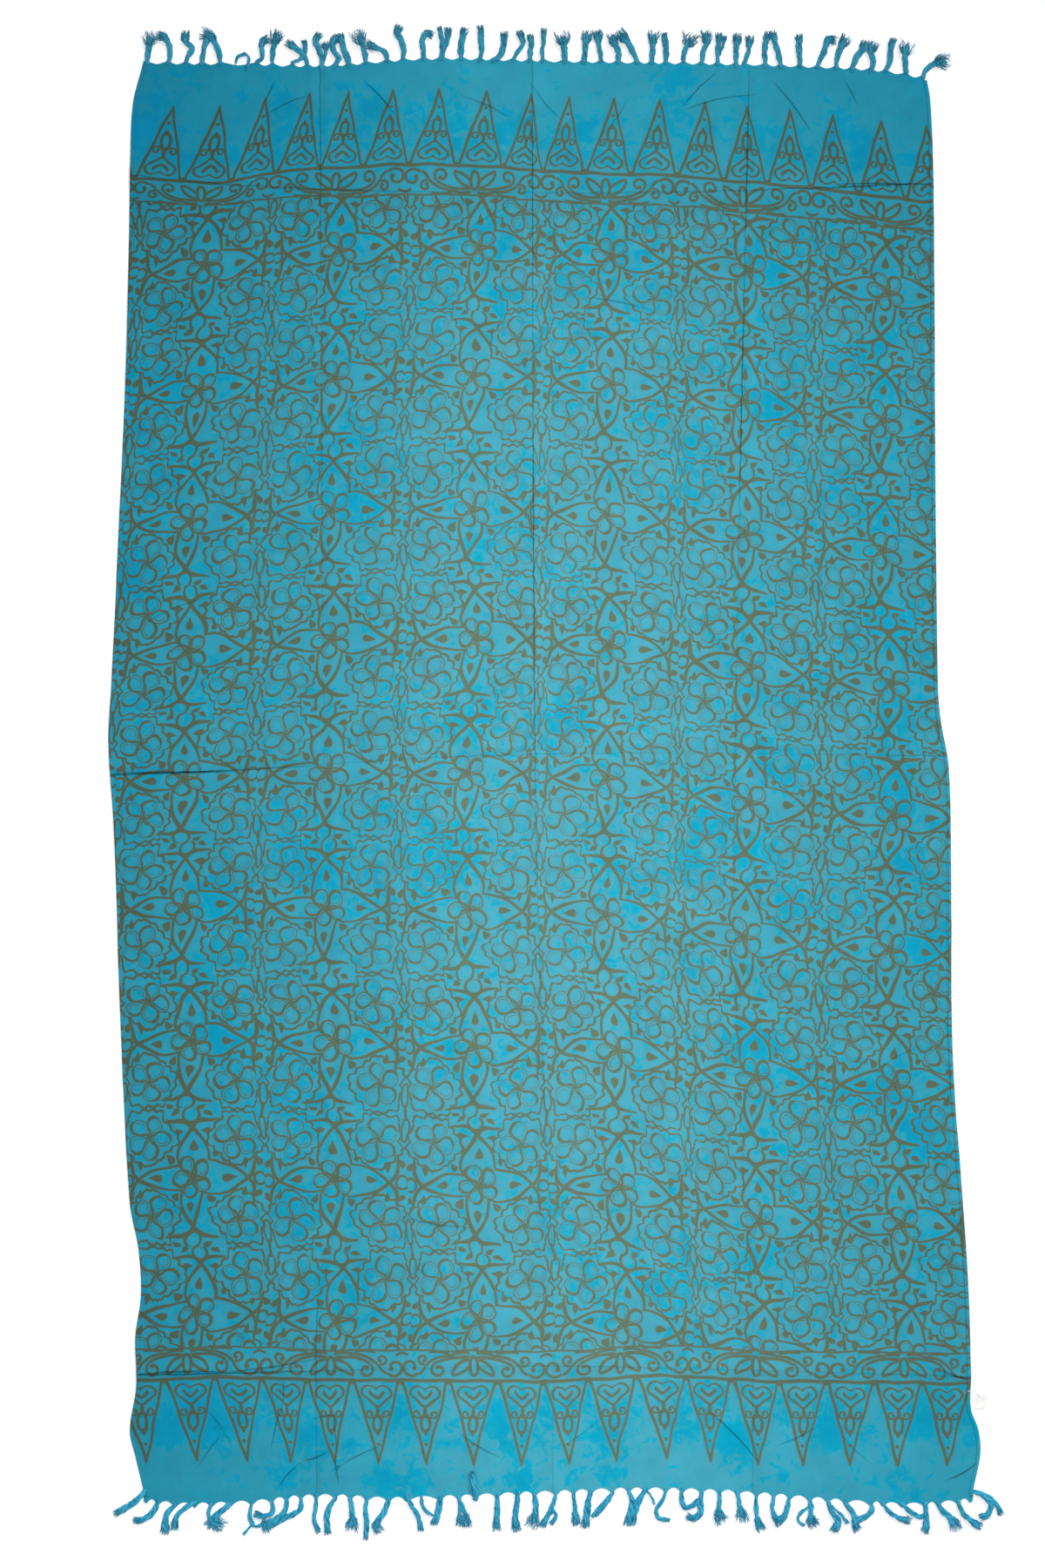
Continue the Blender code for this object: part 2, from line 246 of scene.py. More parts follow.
def smooth_value(route, at):
    """Values at `at` on the smooth curve through a table of (place, value) rows, level past its two ends."""
    place, value = np.array(route, float).T
    at = np.clip(at, place[0], place[-1])
    i = np.clip(np.searchsorted(place, at) - 1, 0, len(place) - 2)
    before, after = np.maximum(i - 1, 0), np.minimum(i + 2, len(place) - 1)
    a, b, start, end = place[i], place[i + 1], value[i], value[i + 1]
    leaving = (end - value[before]) / (b - place[before]) * (b - a)
    arriving = (value[after] - start) / (place[after] - a) * (b - a)
    t = (at - a) / (b - a)
    rise = t * t * (3 - 2 * t)
    bend = leaving * t * (1 - t) ** 2 - arriving * t * t * (1 - t)
    return start * (1 - rise) + end * rise + bend


print("width at the middle:", round(float(smooth_value(RIGHT_SIDE, 0) - smooth_value(LEFT_SIDE, 0))), "mm")

# %% Fold lines, in millimetres
FOLDS_ALONG = (
    # route (y, x), kind, height, width
    (((-900, -301), (-640, -299), (-520, -276), (0, -291), (900, -297)), "valley", 2.2, 10),
    (((-900, -3), (-640, -3), (-386, -14), (0, -25), (900, -29)), "ridge", 2.6, 9),
    (((-900, 250), (-640, 248), (-400, 232), (0, 227), (900, 245)), "valley", 2.0, 10),
)
FOLDS_ACROSS = (
    # route (x, y), kind, height, width
    (((-560, -748), (-300, -742), (0, -736), (560, -750)), "ridge", 2.4, 9),
    (((-570, 10), (-410, 16), (-114, 34), (168, 38), (500, 34)), "valley", 2.4, 11),
    (((-560, 770), (-420, 756), (-200, 747), (150, 746), (480, 757)), "ridge", 3.4, 13),
)
FOLD_UNEVENNESS = 0.35
FOLD_SWELL_LENGTH = 310.0


def hump(distance):
    """Soft rise of height 1 that is level with the floor from one unit away."""
    return 0.5 + 0.5 * np.cos(np.pi * np.clip(distance, -1, 1))


def fold_height(fold, along, across):
    """Height of one fold, a ridge or a valley between two small ridges, which swells a little along it."""
    route, kind, height, width = fold
    off = np.abs(across - smooth_value(route, along)) / width
    swell = 1 + FOLD_UNEVENNESS * np.sin(2 * np.pi * along / FOLD_SWELL_LENGTH + height)
    return height * swell * (hump(off / 2) if kind == "ridge" else hump(off - 1))


def lift(x, y):
    """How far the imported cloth's underside stands off the floor."""
    heights = [fold_height(fold, y, x) for fold in FOLDS_ALONG]
    heights += [fold_height(fold, x, y) for fold in FOLDS_ACROSS]
    return np.maximum.reduce(heights)


print("highest fold:", round(float(lift(np.array([-200.0]), np.array([747.0]))[0]), 1), "mm")

# %% [markdown]
# ## The cloth shell
#
# Rayon is half a millimetre thick, so it shows only its folds and creases. A plain grid would need millions
# of faces to hold a fold a few millimetres wide, so the grid's lines are laid close together beside the
# folds and far apart between them. Each line is a curve from one edge to the other, and a point lies where
# two lines meet.

# %% Mesh lines that crowd at the folds
FINE_STEP = 1.6
COARSE_STEP = 8.5
STEP_GROWTH = 0.22  # how much longer a step may be for each millimetre from a fold
TUCK = 2.6  # how far the cloth's edge reaches under its rolled hem
CROSSING_ROUNDS = 8


def crowded_shares(span):
    """Shares of a span from 0 to 1, in steps that grow away from both of its ends."""
    places = [0.0]
    while places[-1] < span:
        near = min(places[-1], span - places[-1])
        places.append(places[-1] + min(COARSE_STEP, FINE_STEP + STEP_GROWTH * max(near, 0)))
    return np.array(places) / places[-1]


def line_set(edges, middle):
    """Two neighbouring edges and the share between them, for each mesh line, as spaced at the middle."""
    lines = []
    for near, far in zip(edges, edges[1:]):
        shares = crowded_shares(float(far(middle) - near(middle)))
        lines += [(near, far, share) for share in shares[: None if far is edges[-1] else -1]]
    return lines


def meeting_points(columns, rows):
    """x and y of each place where a line along the cloth meets one across it, as rows by columns."""
    x = np.zeros((len(rows), len(columns)))
    y = np.zeros_like(x)
    for _ in range(CROSSING_ROUNDS):
        for j, (near, far, share) in enumerate(columns):
            x[:, j] = near(y[:, j]) * (1 - share) + far(y[:, j]) * share
        for i, (near, far, share) in enumerate(rows):
            y[i] = near(x[i]) * (1 - share) + far(x[i]) * share
    return x, y


STRIP_WIDTH = 7.3  # woven end beyond the printed panel, with its seam
left_edge = lambda y: smooth_value(LEFT_SIDE, y) + TUCK
right_edge = lambda y: smooth_value(RIGHT_SIDE, y) - TUCK
panel_top = lambda x: smooth_value(TOP_END, x) - STRIP_WIDTH
panel_bottom = lambda x: smooth_value(BOTTOM_END, x) + STRIP_WIDTH
fold_edges = [lambda at, r=fold[0]: smooth_value(r, at) for fold in FOLDS_ALONG]
cross_edges = [lambda at, r=fold[0]: smooth_value(r, at) for fold in FOLDS_ACROSS]
columns = line_set([left_edge, *fold_edges, right_edge], 0.0)
rows = line_set([panel_bottom, *cross_edges, panel_top], 0.0)
print("mesh lines:", len(columns), "along and", len(rows), "across")

# %% [markdown]
# Cloth that was folded away has more than its main folds: short creases run out from the corners of a fold,
# and the sides ripple where nothing holds them down. Each short crease is listed, as a ridge or a
# trough with its own bend, height and width, and it fades out at both ends. The ripple is a few long waves.

# %% Short creases, in millimetres
SHORT_CREASES = (
    # x, y of one end, x, y of the other, bow, height (below 0 for a trough), width
    (42, 613, 106, 601, 2, 1.0, 7), (-194, -547, -106, -561, -3, -0.7, 8),
    (-239, 884, -206, 848, 2, 1.5, 6), (-355, 884, -366, 861, 0, 1.2, 5), (-364, 844, -311, 868, 3, 1.1, 6),
    (201, 895, 157, 849, -2, 1.3, 6), (156, 847, 252, 869, 5, 1.0, 6), (277, 884, 322, 824, 2, 1.2, 6),
    (368, 884, 381, 860, 0, 1.1, 5), (-350, -889, -321, -857, 2, 1.3, 6),
    (-317, -855, -289, -844, -2, 1.2, 6), (-270, -861, -223, -838, 2, -1.0, 6),
    (-279, -850, -274, -881, 0, 1.2, 5), (-343, -755, -343, -781, 0, 0.9, 6),
    (-343, -783, -358, -837, -2, 1.0, 7), (-303, -802, -268, -798, 2, 0.9, 6),
    (-279, -806, -276, -842, 0, 0.8, 6), (-437, -795, -410, -832, 2, 0.9, 7),
    (192, -791, 256, -856, 3, 1.1, 7), (283, -835, 329, -813, -2, 0.9, 7),
    (487, -740, 521, -751, -2, 1.2, 6), (498, -878, 531, -859, -2, 1.5, 6), (361, 756, 449, 756, 1, 1.3, 6),
    (-526, -746, -420, -743, 2, 1.6, 6), (-417, -743, -303, -727, -2, 1.2, 7),
    (-560, 12, -410, 14, 1, -1.3, 7), (-112, 866, -61, 842, 2, 0.9, 7), (-29, 881, 7, 838, -2, 0.8, 8),
    (91, 862, 62, 821, 2, -0.7, 8), (-469, 701, -430, 743, -2, 0.7, 9), (-119, 691, -61, 727, 3, 0.6, 9),
    (301, 701, 261, 743, -2, 0.6, 9), (60, -800, 9, -837, 2, 0.7, 9), (-120, -821, -70, -851, -2, 0.8, 8),
    (401, -860, 361, -822, 2, 0.8, 8), (-450, -862, -420, -822, 2, 0.9, 7),
    (-519, 201, -437, 234, 5, 0.6, 13), (-531, -260, -450, -306, -5, 0.6, 14),
    (450, 300, 388, 336, 4, 0.5, 13), (468, -329, 395, -371, -4, 0.6, 12),
    (-90, 120, -19, 147, 4, 0.45, 14), (108, -309, 170, -285, -4, 0.45, 13),
)
CREASE_FADE = 0.7  # power of the fade towards a crease's ends
CREASE_RELIEF = 0.7  # share of a crease's height that stands in the mesh


def crease_place(crease, x, y):
    """Share along a crease and distance from its bowed line, for points of the cloth."""
    start, end = np.array(crease[:2], float), np.array(crease[2:4], float)
    length = np.hypot(*(end - start))
    ahead = (end - start) / length
    share = ((x - start[0]) * ahead[0] + (y - start[1]) * ahead[1]) / length
    side = (y - start[1]) * ahead[0] - (x - start[0]) * ahead[1]
    return share, side - crease[4] * np.sin(np.pi * np.clip(share, 0, 1))


def crease_height(x, y):
    """Height that all the short creases add to the cloth."""
    total = np.zeros_like(x)
    for crease in SHORT_CREASES:
        share, side = crease_place(crease, x, y)
        fade = np.sin(np.pi * np.clip(share, 0, 1)) ** CREASE_FADE
        total += CREASE_RELIEF * crease[5] * fade * hump(side / crease[6])
    return total


print(len(SHORT_CREASES), "short creases")

# %% Long ripples
RIPPLES = 9
RIPPLE_WAVES = (95.0, 190.0)  # shortest and longest wave
RIPPLE_HEIGHT = 1.5
RIPPLE_REACH = 85.0  # how far in from a side the cloth ripples freely
RIPPLE_INSIDE = 0.3  # share of that height left in the middle
FOLD_SHOWN = 0.6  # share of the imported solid's fold height that the relaxed cloth keeps
FLAT_TOP = 0.6  # height of the upper face where the cloth lies flat
DEEPEST_TROUGH = -0.3  # below this a trough would sink through the floor


def ripple_height(x, y):
    """Soft waves, highest along the two sides, where nothing holds the cloth flat."""
    draw = random.Random(12)
    waves = np.zeros_like(x)
    for _ in range(RIPPLES):
        turn, phase = draw.uniform(0, math.pi), draw.uniform(0, 2 * math.pi)
        wave = draw.uniform(*RIPPLE_WAVES)
        waves += np.sin(2 * np.pi * (x * math.cos(turn) + y * math.sin(turn)) / wave + phase)
    level = np.clip(0.5 + waves / (2 * math.sqrt(2 * RIPPLES)), 0, 1)
    side = np.minimum(x - smooth_value(LEFT_SIDE, y), smooth_value(RIGHT_SIDE, y) - x)
    freedom = RIPPLE_INSIDE + (1 - RIPPLE_INSIDE) * hump(np.clip(side / RIPPLE_REACH, 0, 1))
    return RIPPLE_HEIGHT * level * freedom


def rest_height(x, y):
    """Height of the cloth's upper face above the floor."""
    creased = np.maximum(crease_height(x, y), DEEPEST_TROUGH)
    return FLAT_TOP + FOLD_SHOWN * lift(x, y) + creased + ripple_height(x, y)


sample = np.linspace(-450, 450, 7)
print("heights across the middle:", rest_height(sample, sample * 0).round(1), "mm")

# %% [markdown]
# ## Where the print lies
#
# The repeat was stamped by hand in columns, while the cloth was pulled a little out of true, so rows and
# columns wander. Each mesh point therefore carries its own place in the print, in print units: the repeat
# is 160 units wide and 150 high. The material draws the pattern from that place, so the pattern bends with
# the cloth. A pattern on plain Object coordinates would run dead straight and look printed by machine.

# %% Rows and columns of the repeat
TILE = (160.0, 150.0)  # print units
PRINT_UNIT = 1.1  # millimetres in a print unit
COLUMN_SHARE = 0.1695  # width of a column as a share of the cloth's width
# y, share of the width at the first column's middle
FIRST_COLUMN = ((-679, 0.0708), (13, 0.0889), (660, 0.0967))
ROWS_FROM = 676.5  # y of the top row's middle
ROWS_SPAN = 1355.0  # from there down to the bottom row's
ROW_MIDDLES = (
    # y of a row's middle in the middle column, number of the row
    (-860, 9.05), (-678.7, 8), (-508.2, 7), (-334.4, 6), (-160.6, 5), (13.2, 4), (183.7, 3), (347.6, 2),
    (514.8, 1), (676.5, 0), (840, -1),
)
# column, how far it hangs below the middle one, in the top row and in the bottom row
TOP_DROP = ((0, 23), (1, 2), (2, 0), (3, 10), (4, 32), (5, 55))
BOTTOM_DROP = ((0, -9), (1, -7), (2, 0), (3, 4), (4, 40), (5, 48))

STAMP_SLIPS = (
    # for each row from the top, how far right and up each of its stamps was set, in print units
    ((0, -1), (-3, 0), (1, 0), (-5, 0), (-4, 1), (-2, -1)),
    ((-2, 1), (-5, -2), (-2, 0), (-4, -1), (-7, -2), (-5, -2)),
    ((-6, 0), (-3, -3), (-1, 0), (-3, -2), (-4, 1), (-4, -2)),
    ((1, -6), (5, -3), (9, 0), (3, -3), (3, -3), (6, -6)),
    ((1, 0), (2, -1), (-1, 0), (-3, -1), (-4, -2), (-1, -3)),
    ((-3, 8), (-3, 1), (-3, 0), (-7, 1), (-10, 1), (-5, 0)),
    ((5, 7), (6, 3), (7, 0), (7, 2), (4, 1), (4, 4)),
    ((3, 5), (2, 2), (6, 0), (6, 3), (2, -3), (4, 0)),
    ((-1, 0), (2, -5), (2, 0), (8, 1), (2, -2), (10, 0)),
)


def extended(route, at):
    """A smooth table's value, carried on straight past its two ends."""
    (a, start), (b, end) = route[0], route[1]
    (c, before), (d, last) = route[-2], route[-1]
    low = np.minimum(at - a, 0) * (end - start) / (b - a)
    high = np.maximum(at - d, 0) * (last - before) / (d - c)
    return smooth_value(route, at) + low + high


def width_share(x, y):
    """Place across the cloth, from 0 at its left side to 1 at its right side."""
    left, right = smooth_value(LEFT_SIDE, y), smooth_value(RIGHT_SIDE, y)
    return (x - left) / (right - left)


def stamp_slip(column, row):
    """How far the nearest stamps were set out of line, passing softly from one stamp to the next."""
    slips = np.array(STAMP_SLIPS, float)
    row_count, column_count, _ = slips.shape
    column, row = np.clip(column, 0, column_count - 1), np.clip(row, 0, row_count - 1)
    left = np.minimum(np.floor(column), column_count - 2).astype(int)
    top = np.minimum(np.floor(row), row_count - 2).astype(int)
    across, down = (0.5 - 0.5 * np.cos(np.pi * past) for past in (column - left, row - top))
    total = 0
    for step_x, share_x in ((0, 1 - across), (1, across)):
        for step_y, share_y in ((0, 1 - down), (1, down)):
            total = total + (share_x * share_y)[..., None] * slips[top + step_y, left + step_x]
    return total[..., 0], total[..., 1]


def body_place(x, y):
    """Place in the floral repeat, in print units, with the middle of a repeat at whole tiles."""
    column = (width_share(x, y) - extended(FIRST_COLUMN, y)) / COLUMN_SHARE
    down = np.clip((ROWS_FROM - y) / ROWS_SPAN, 0, 1)
    drop = extended(TOP_DROP, column) * (1 - down) + extended(BOTTOM_DROP, column) * down
    row = extended(ROW_MIDDLES, y + drop)
    slip_x, slip_y = stamp_slip(column, row)
    return column * TILE[0] - slip_x, -row * TILE[1] - slip_y


# %% Border lines and triangles
TOP_BASE = (
    # x, y of the line that the triangles stand on
    (-536, 761.5), (-426, 757), (-360, 768), (-297.5, 774.5), (-245, 776), (-184, 780), (-85, 777),
    (-25, 771.8), (36, 769), (135, 766), (234, 758.3), (300, 752.3), (355, 747), (410, 739.4), (465, 733.6),
)
BOTTOM_BASE = (
    (-492, -751), (-429, -748), (-354, -750), (-299, -752.4), (-243, -752.2), (-180, -752.5),
    (-135, -753.5), (-73, -753.2), (-12, -754.1), (40, -751.9), (101.8, -747.5), (163.6, -747.5),
    (224, -751.2), (282, -754.3), (344, -754.1), (403, -754.6), (467, -756), (521, -756),
)
TRIANGLE_PITCH = 54.0  # print units
TRIANGLE_STAMP_HEIGHT = 98.0
TOP_TRIANGLES = (
    # x of the middle of a triangle's base, how far its point leans to the right
    (-502.2, 20), (-439.5, 17), (-381.2, 16), (-324.2, 14), (-272.3, 12), (-212.9, 7), (-156.2, 11),
    (-94.1, 8), (-40.7, 11), (8.3, 9), (66, 9), (125.4, 7), (183.2, 6), (240.4, 2), (295, 2), (351.5, -1),
    (413.6, -3), (471.4, -2),
)
BOTTOM_TRIANGLES = (
    (-525.8, 10), (-462.7, 10), (-400.1, 10), (-342.1, 9), (-286, 7), (-226.3, 4), (-164.5, 2), (-104, 1),
    (-42.6, 1), (13.2, 4), (71, 6), (134.8, 6), (193, 4), (253.6, 3), (313, 0), (372.9, -1), (434.3, -2),
    (495.6, -1),
)
TOP_TRIANGLE_HEIGHT = 95.0  # millimetres from base to point
BOTTOM_TRIANGLE_HEIGHT = 104.5
SCROLL_SHIFT = {"top": 8.2, "bottom": 6.5}
# at places x, how far the top scroll band is pushed together
BAND_SQUEEZE = ((-540, 1.38), (-430, 1.34), (-330, 1.18), (-250, 1.03), (0, 1.0), (600, 1.0))


def triangle_place(x, up, triangles, height):
    """Place across a row of triangles in print units, leaning as they lean, and place up from their base."""
    lean = smooth_value(triangles, x) * np.maximum(up, 0) / height
    numbers = [(middle, number) for number, (middle, _) in enumerate(triangles)]
    across = extended(numbers, x - lean) * TRIANGLE_PITCH
    return across, np.where(up > 0, up / height * TRIANGLE_STAMP_HEIGHT, up / PRINT_UNIT)


def border_place(x, y):
    """Place in the nearer border: across the triangles, up from their base, and along the scrolls."""
    above, below = y - smooth_value(TOP_BASE, x), smooth_value(BOTTOM_BASE, x) - y
    top = triangle_place(x, above, TOP_TRIANGLES, TOP_TRIANGLE_HEIGHT)
    bottom = triangle_place(x, below, BOTTOM_TRIANGLES, BOTTOM_TRIANGLE_HEIGHT)
    at_top = y > 0
    top_up = np.where(top[1] < 0, top[1] * smooth_value(BAND_SQUEEZE, x), top[1])
    along = body_place(x, y)[0] + np.where(at_top, SCROLL_SHIFT["top"], SCROLL_SHIFT["bottom"])
    return np.where(at_top, top[0], bottom[0]), np.where(at_top, top_up, bottom[1]), along


# %% Distances to fold lines
FOLD_FADE = 14.0  # millimetres from a fold to where nothing of it shows
FOLD_RISE = 1.5  # how steeply it comes in from there, where 1 would reach full strength only on the fold
NO_CREASE = 60.0  # millimetres to the nearest crease where there is none near
CREASE_END_FADE = 6.0  # millimetres past a crease's end to where it is gone
CREASE_SIDE_FADE = 7.0  # millimetres beside its line to where it starts to fade
CREASE_END_SHARE = 0.35  # how clearly it shows at its ends, as a share of its middle
CREASE_GAP = (1.0, 4.0)  # between two creases, where nothing shows, and from there to where one shows fully
CLEAR_ALONG = (
    # for each fold along the cloth, how clearly its line shows at heights y
    (
        (-900, 0.5), (-780, 0.3), (-740, 0.7), (-600, 0.2), (-200, 0.1), (100, 0.2), (440, 0.35), (560, 0.1),
        (730, 0.6), (800, 0.8), (900, 0.5)
    ),
    (
        (-900, 0.3), (-700, 0.15), (-450, 0.3), (-100, 0.3), (60, 0.6), (250, 0.9), (420, 0.75), (520, 0.35),
        (640, 0.6), (760, 0.9), (900, 0.5)
    ),
    (
        (-900, 0.4), (-700, 0.2), (-300, 0.15), (40, 0.25), (330, 0.35), (410, 0.9), (560, 1.0), (660, 0.5),
        (740, 1.0), (830, 0.9), (900, 0.3)
    ),
)
CLEAR_ACROSS = (
    # for each fold across it, at places x
    ((-560, 0.6), (-520, 1.0), (-380, 0.9), (-310, 0.6), (-200, 0.2), (100, 0.35), (300, 0.2), (560, 0.5)),
    (
        (-570, 1.0), (-500, 1.0), (-410, 1.0), (-350, 0.7), (-300, 0.2), (-120, 0.4), (60, 0.3), (200, 0.1),
        (500, 0.5)
    ),
    (
        (-560, 0.8), (-500, 0.5), (-380, 0.6), (-260, 0.6), (-150, 0.3), (100, 0.4), (260, 0.5), (350, 1.0),
        (450, 1.0), (480, 0.6)
    ),
)


def fold_place(x, y):
    """Signed distances to the nearest fold along the cloth and across it, and how clearly each shows."""
    places, clearness = [], []
    for folds, tables, at, off in ((FOLDS_ALONG, CLEAR_ALONG, y, x), (FOLDS_ACROSS, CLEAR_ACROSS, x, y)):
        offsets = np.stack([off - smooth_value(fold[0], at) for fold in folds])
        shown = np.stack([smooth_value(table, at) for table in tables])
        nearest = np.argmin(np.abs(offsets), axis=0)[None]
        offset = np.take_along_axis(offsets, nearest, 0)[0]
        places.append(offset)
        near = np.clip(FOLD_RISE - FOLD_RISE * np.abs(offset) / FOLD_FADE, 0, 1)
        clearness.append(near * np.clip(np.take_along_axis(shown, nearest, 0)[0], 0, 1))
    return places, clearness


def nearest_crease(x, y):
    """Signed distance in millimetres to the nearest short crease, and how strongly it shows there."""
    nearest, second = np.full_like(x, NO_CREASE), np.full_like(x, NO_CREASE)
    distance, strength = nearest.copy(), np.zeros_like(x)
    for crease in SHORT_CREASES:
        share, side = crease_place(crease, x, y)
        length = math.hypot(crease[2] - crease[0], crease[3] - crease[1])
        past = np.maximum(np.abs(share - 0.5) - 0.5, 0) * length
        away = np.hypot(side, past)
        nearer = away < nearest
        second = np.where(nearer, nearest, np.minimum(second, away))
        nearest = np.where(nearer, away, nearest)
        distance = np.where(nearer, side, distance)
        beside = np.clip(2 - np.abs(side) / CREASE_SIDE_FADE, 0, 1)
        shown = abs(crease[5]) * np.clip(1 - past / CREASE_END_FADE, 0, 1) * beside
        along = CREASE_END_SHARE + (1 - CREASE_END_SHARE) * np.sin(np.pi * np.clip(share, 0, 1))
        strength = np.where(nearer, shown * along, strength)
    return distance, strength * np.clip((second - nearest - CREASE_GAP[0]) / CREASE_GAP[1], 0, 1)


# %% Spots where more dye was poured, in millimetres
DEEP_SPOTS = (
    # x, y, reach, strength
    (-520, 840, 30, 0.5), (-465, 785, 19, 0.9), (-413, 791, 20, 0.9), (-355, 796, 15, 0.8),
    (-234, 862, 24, 0.9), (-129, 868, 28, 0.9), (-52, 829, 24, 0.9), (34, 824, 15, 0.6),
    (146, 866, 30, 0.9), (360, 840, 25, 0.9), (388, 807, 20, 0.9), (-492, -817, 26, 1.2),
    (-432, -795, 40, 1.0), (-311, -832, 33, 1.1), (-195, -799, 18, 0.9), (-67, -806, 20, 1.0),
    (-41, -850, 29, 0.7), (-14, -795, 13, 0.8), (69, -839, 26, 1.0), (228, -837, 28, 1.2),
    (349, -828, 22, 1.2), (465, -804, 22, 1.2), (443, -888, 37, 0.7), (-503, 472, 51, 0.6),
    (-492, 406, 44, 0.6), (-420, 514, 24, 0.7), (-300, 408, 33, 0.7), (-252, 356, 35, 0.8),
    (-96, 290, 26, 0.9), (129, 455, 29, 0.8), (179, 422, 33, 0.9), (168, 367, 35, 0.8), (267, 472, 31, 0.8),
    (393, 543, 26, 0.7), (421, 499, 24, 0.7), (360, 351, 35, 0.7), (404, 318, 29, 0.7), (432, 197, 29, 0.7),
    (437, 81, 42, 0.9), (432, -18, 33, 0.8), (443, -100, 29, 0.9), (467, -205, 31, 0.7), (285, 21, 33, 0.9),
    (203, -51, 33, 0.9), (168, -95, 29, 0.8), (247, -84, 33, 0.8), (294, -155, 29, 0.7),
    (109, -161, 33, 0.8), (162, -234, 29, 0.6), (-151, -95, 44, 0.9), (-228, -122, 29, 0.7),
    (-305, -95, 40, 0.8), (-432, -144, 29, 0.9), (-514, -234, 26, 0.7), (-424, -322, 29, 0.9),
    (-316, -408, 37, 0.7), (-325, -529, 33, 0.7), (-459, -535, 35, 0.7), (-272, -641, 40, 0.8),
    (3, -551, 26, 0.8), (146, -612, 40, 0.7), (247, -601, 31, 0.6), (254, -331, 37, 0.8),
    (316, -359, 29, 0.7), (404, -403, 40, 0.8), (456, -447, 37, 0.8), (421, -520, 31, 0.6),
    (470, -606, 35, 0.6), (-146, -342, 29, 0.7), (-538, 274, 29, 0.9), (-520, 109, 26, 0.8),
    (-107, 81, 29, 0.5), (14, 74, 35, 0.6), (91, 206, 33, 0.4), (267, 653, 26, 0.8), (327, 681, 24, 0.6),
    (-80, 692, 33, 0.5), (-261, 697, 24, 0.7), (-278, 560, 24, 0.5), (-217, -881, 24, 1.3),
    (-173, -881, 15, 1.3), (-41, -876, 29, 1.3), (-79, -883, 10, 1.1), (74, -870, 18, 1.4),
    (19, -876, 14, 0.9), (-333, -870, 26, 1.1), (-234, -878, 15, 1.1), (289, -870, 20, 0.8),
    (-496, 862, 10, 1), (-399, 866, 12, 1), (-347, 860, 10, 1.1), (-270, 879, 12, 1.2),
    (-217, 848, 14, 1.3), (-133, 835, 11, 1.1), (161, 901, 10, 1.2), (465, 890, 15, 1),
)
SPOT_SPREAD = 1.8  # how many times its reach a spot fades over


def dye_poured(x, y):
    """How much more dye a place had than the rest, as the strongest of the spots that reach it."""
    most = np.zeros_like(x)
    for spot_x, spot_y, reach, strength in DEEP_SPOTS:
        most = np.maximum(most, strength * hump(np.hypot(x - spot_x, y - spot_y) / (SPOT_SPREAD * reach)))
    return most


print(len(DEEP_SPOTS), "spots of deeper dye")

# %% Cloth pieces with their places in the print
CLOTH_THICKNESS = 0.5
UV_MARGIN = 0.002
SHARP_ANGLE = 40  # degrees: only the cloth's cut edges are sharper


def give_places(piece, x, y):
    """Stores each point's place in the print, beside the folds and creases and in the dye."""
    body_x, body_y = body_place(x, y)
    across, up, along = border_place(x, y)
    fold_offsets, fold_clearness = fold_place(x, y)
    crease, strength = nearest_crease(x, y)
    flat = np.zeros_like(x)
    share = width_share(x, y)
    stored = {
        "body_print": (body_x, body_y, flat),
        "border_print": (across, up, along),
        "fold_lines": (*fold_offsets, flat),
        "fold_clearness": (*fold_clearness, flat),
        "short_creases": (crease, strength, dye_poured(x, y)),
        "cloth_place": (x * MM, y * MM, share),
    }
    for name, parts in stored.items():
        attribute = piece.data.attributes.new(name, "FLOAT_VECTOR", "POINT")
        values = np.stack([part.ravel() for part in parts], -1)
        attribute.data.foreach_set("vector", values.astype(np.float32).ravel())


def unwrap(piece, x, y):
    """A UV map that fills the cloth's width."""
    share = width_share(x, y)
    unwrapped = piece.data.uv_layers.new(name="OFBake")
    corner_points = np.empty(len(piece.data.loops), np.int32)
    piece.data.loops.foreach_get("vertex_index", corner_points)
    low, high = y.min(), y.max()
    spot = np.stack([np.clip(share, 0, 1).ravel(), ((y - low) / (high - low)).ravel()], -1)
    placed = UV_MARGIN + (1 - 2 * UV_MARGIN) * spot[corner_points]
    unwrapped.data.foreach_set("uv", placed.astype(np.float32).ravel())


def cloth_piece(name, x, y, drop=0.0):
    """A thin shell on the points of a grid, hanging down from the height that the cloth rests at."""
    count_y, count_x = x.shape
    z = rest_height(x, y) - drop
    points = np.stack([x.ravel(), y.ravel(), z.ravel()], -1) * MM
    first = (np.arange(count_y - 1)[:, None] * count_x + np.arange(count_x - 1)).ravel()
    faces = np.stack([first, first + 1, first + count_x + 1, first + count_x], -1)
    piece = new_piece(name, points.tolist(), faces.tolist())
    give_places(piece, x, y)
    unwrap(piece, x, y)
    wall = piece.modifiers.new("cloth wall", "SOLIDIFY")
    wall.thickness = CLOTH_THICKNESS * MM
    wall.offset = -1
    piece = settle(piece)
    piece.data.set_sharp_from_angle(angle=math.radians(SHARP_ANGLE))
    return piece


cloth_x, cloth_y = meeting_points(columns, rows)
cloth = cloth_piece("printed_rayon", cloth_x, cloth_y)
print("cloth:", len(cloth.data.polygons), "faces and", len(cloth.data.attributes), "attributes")

# %% [markdown]
# ## Where the tassels grow
#
# At each end the lengthwise yarns are left unwoven and gathered in bundles. Each bundle draws the cloth's
# end out to a small point, and no two lie alike: some stand straight, some lean together, cross or curl
# back. So each one has a row of its own with its bends. One table serves both the yarn and the scalloped
# end.

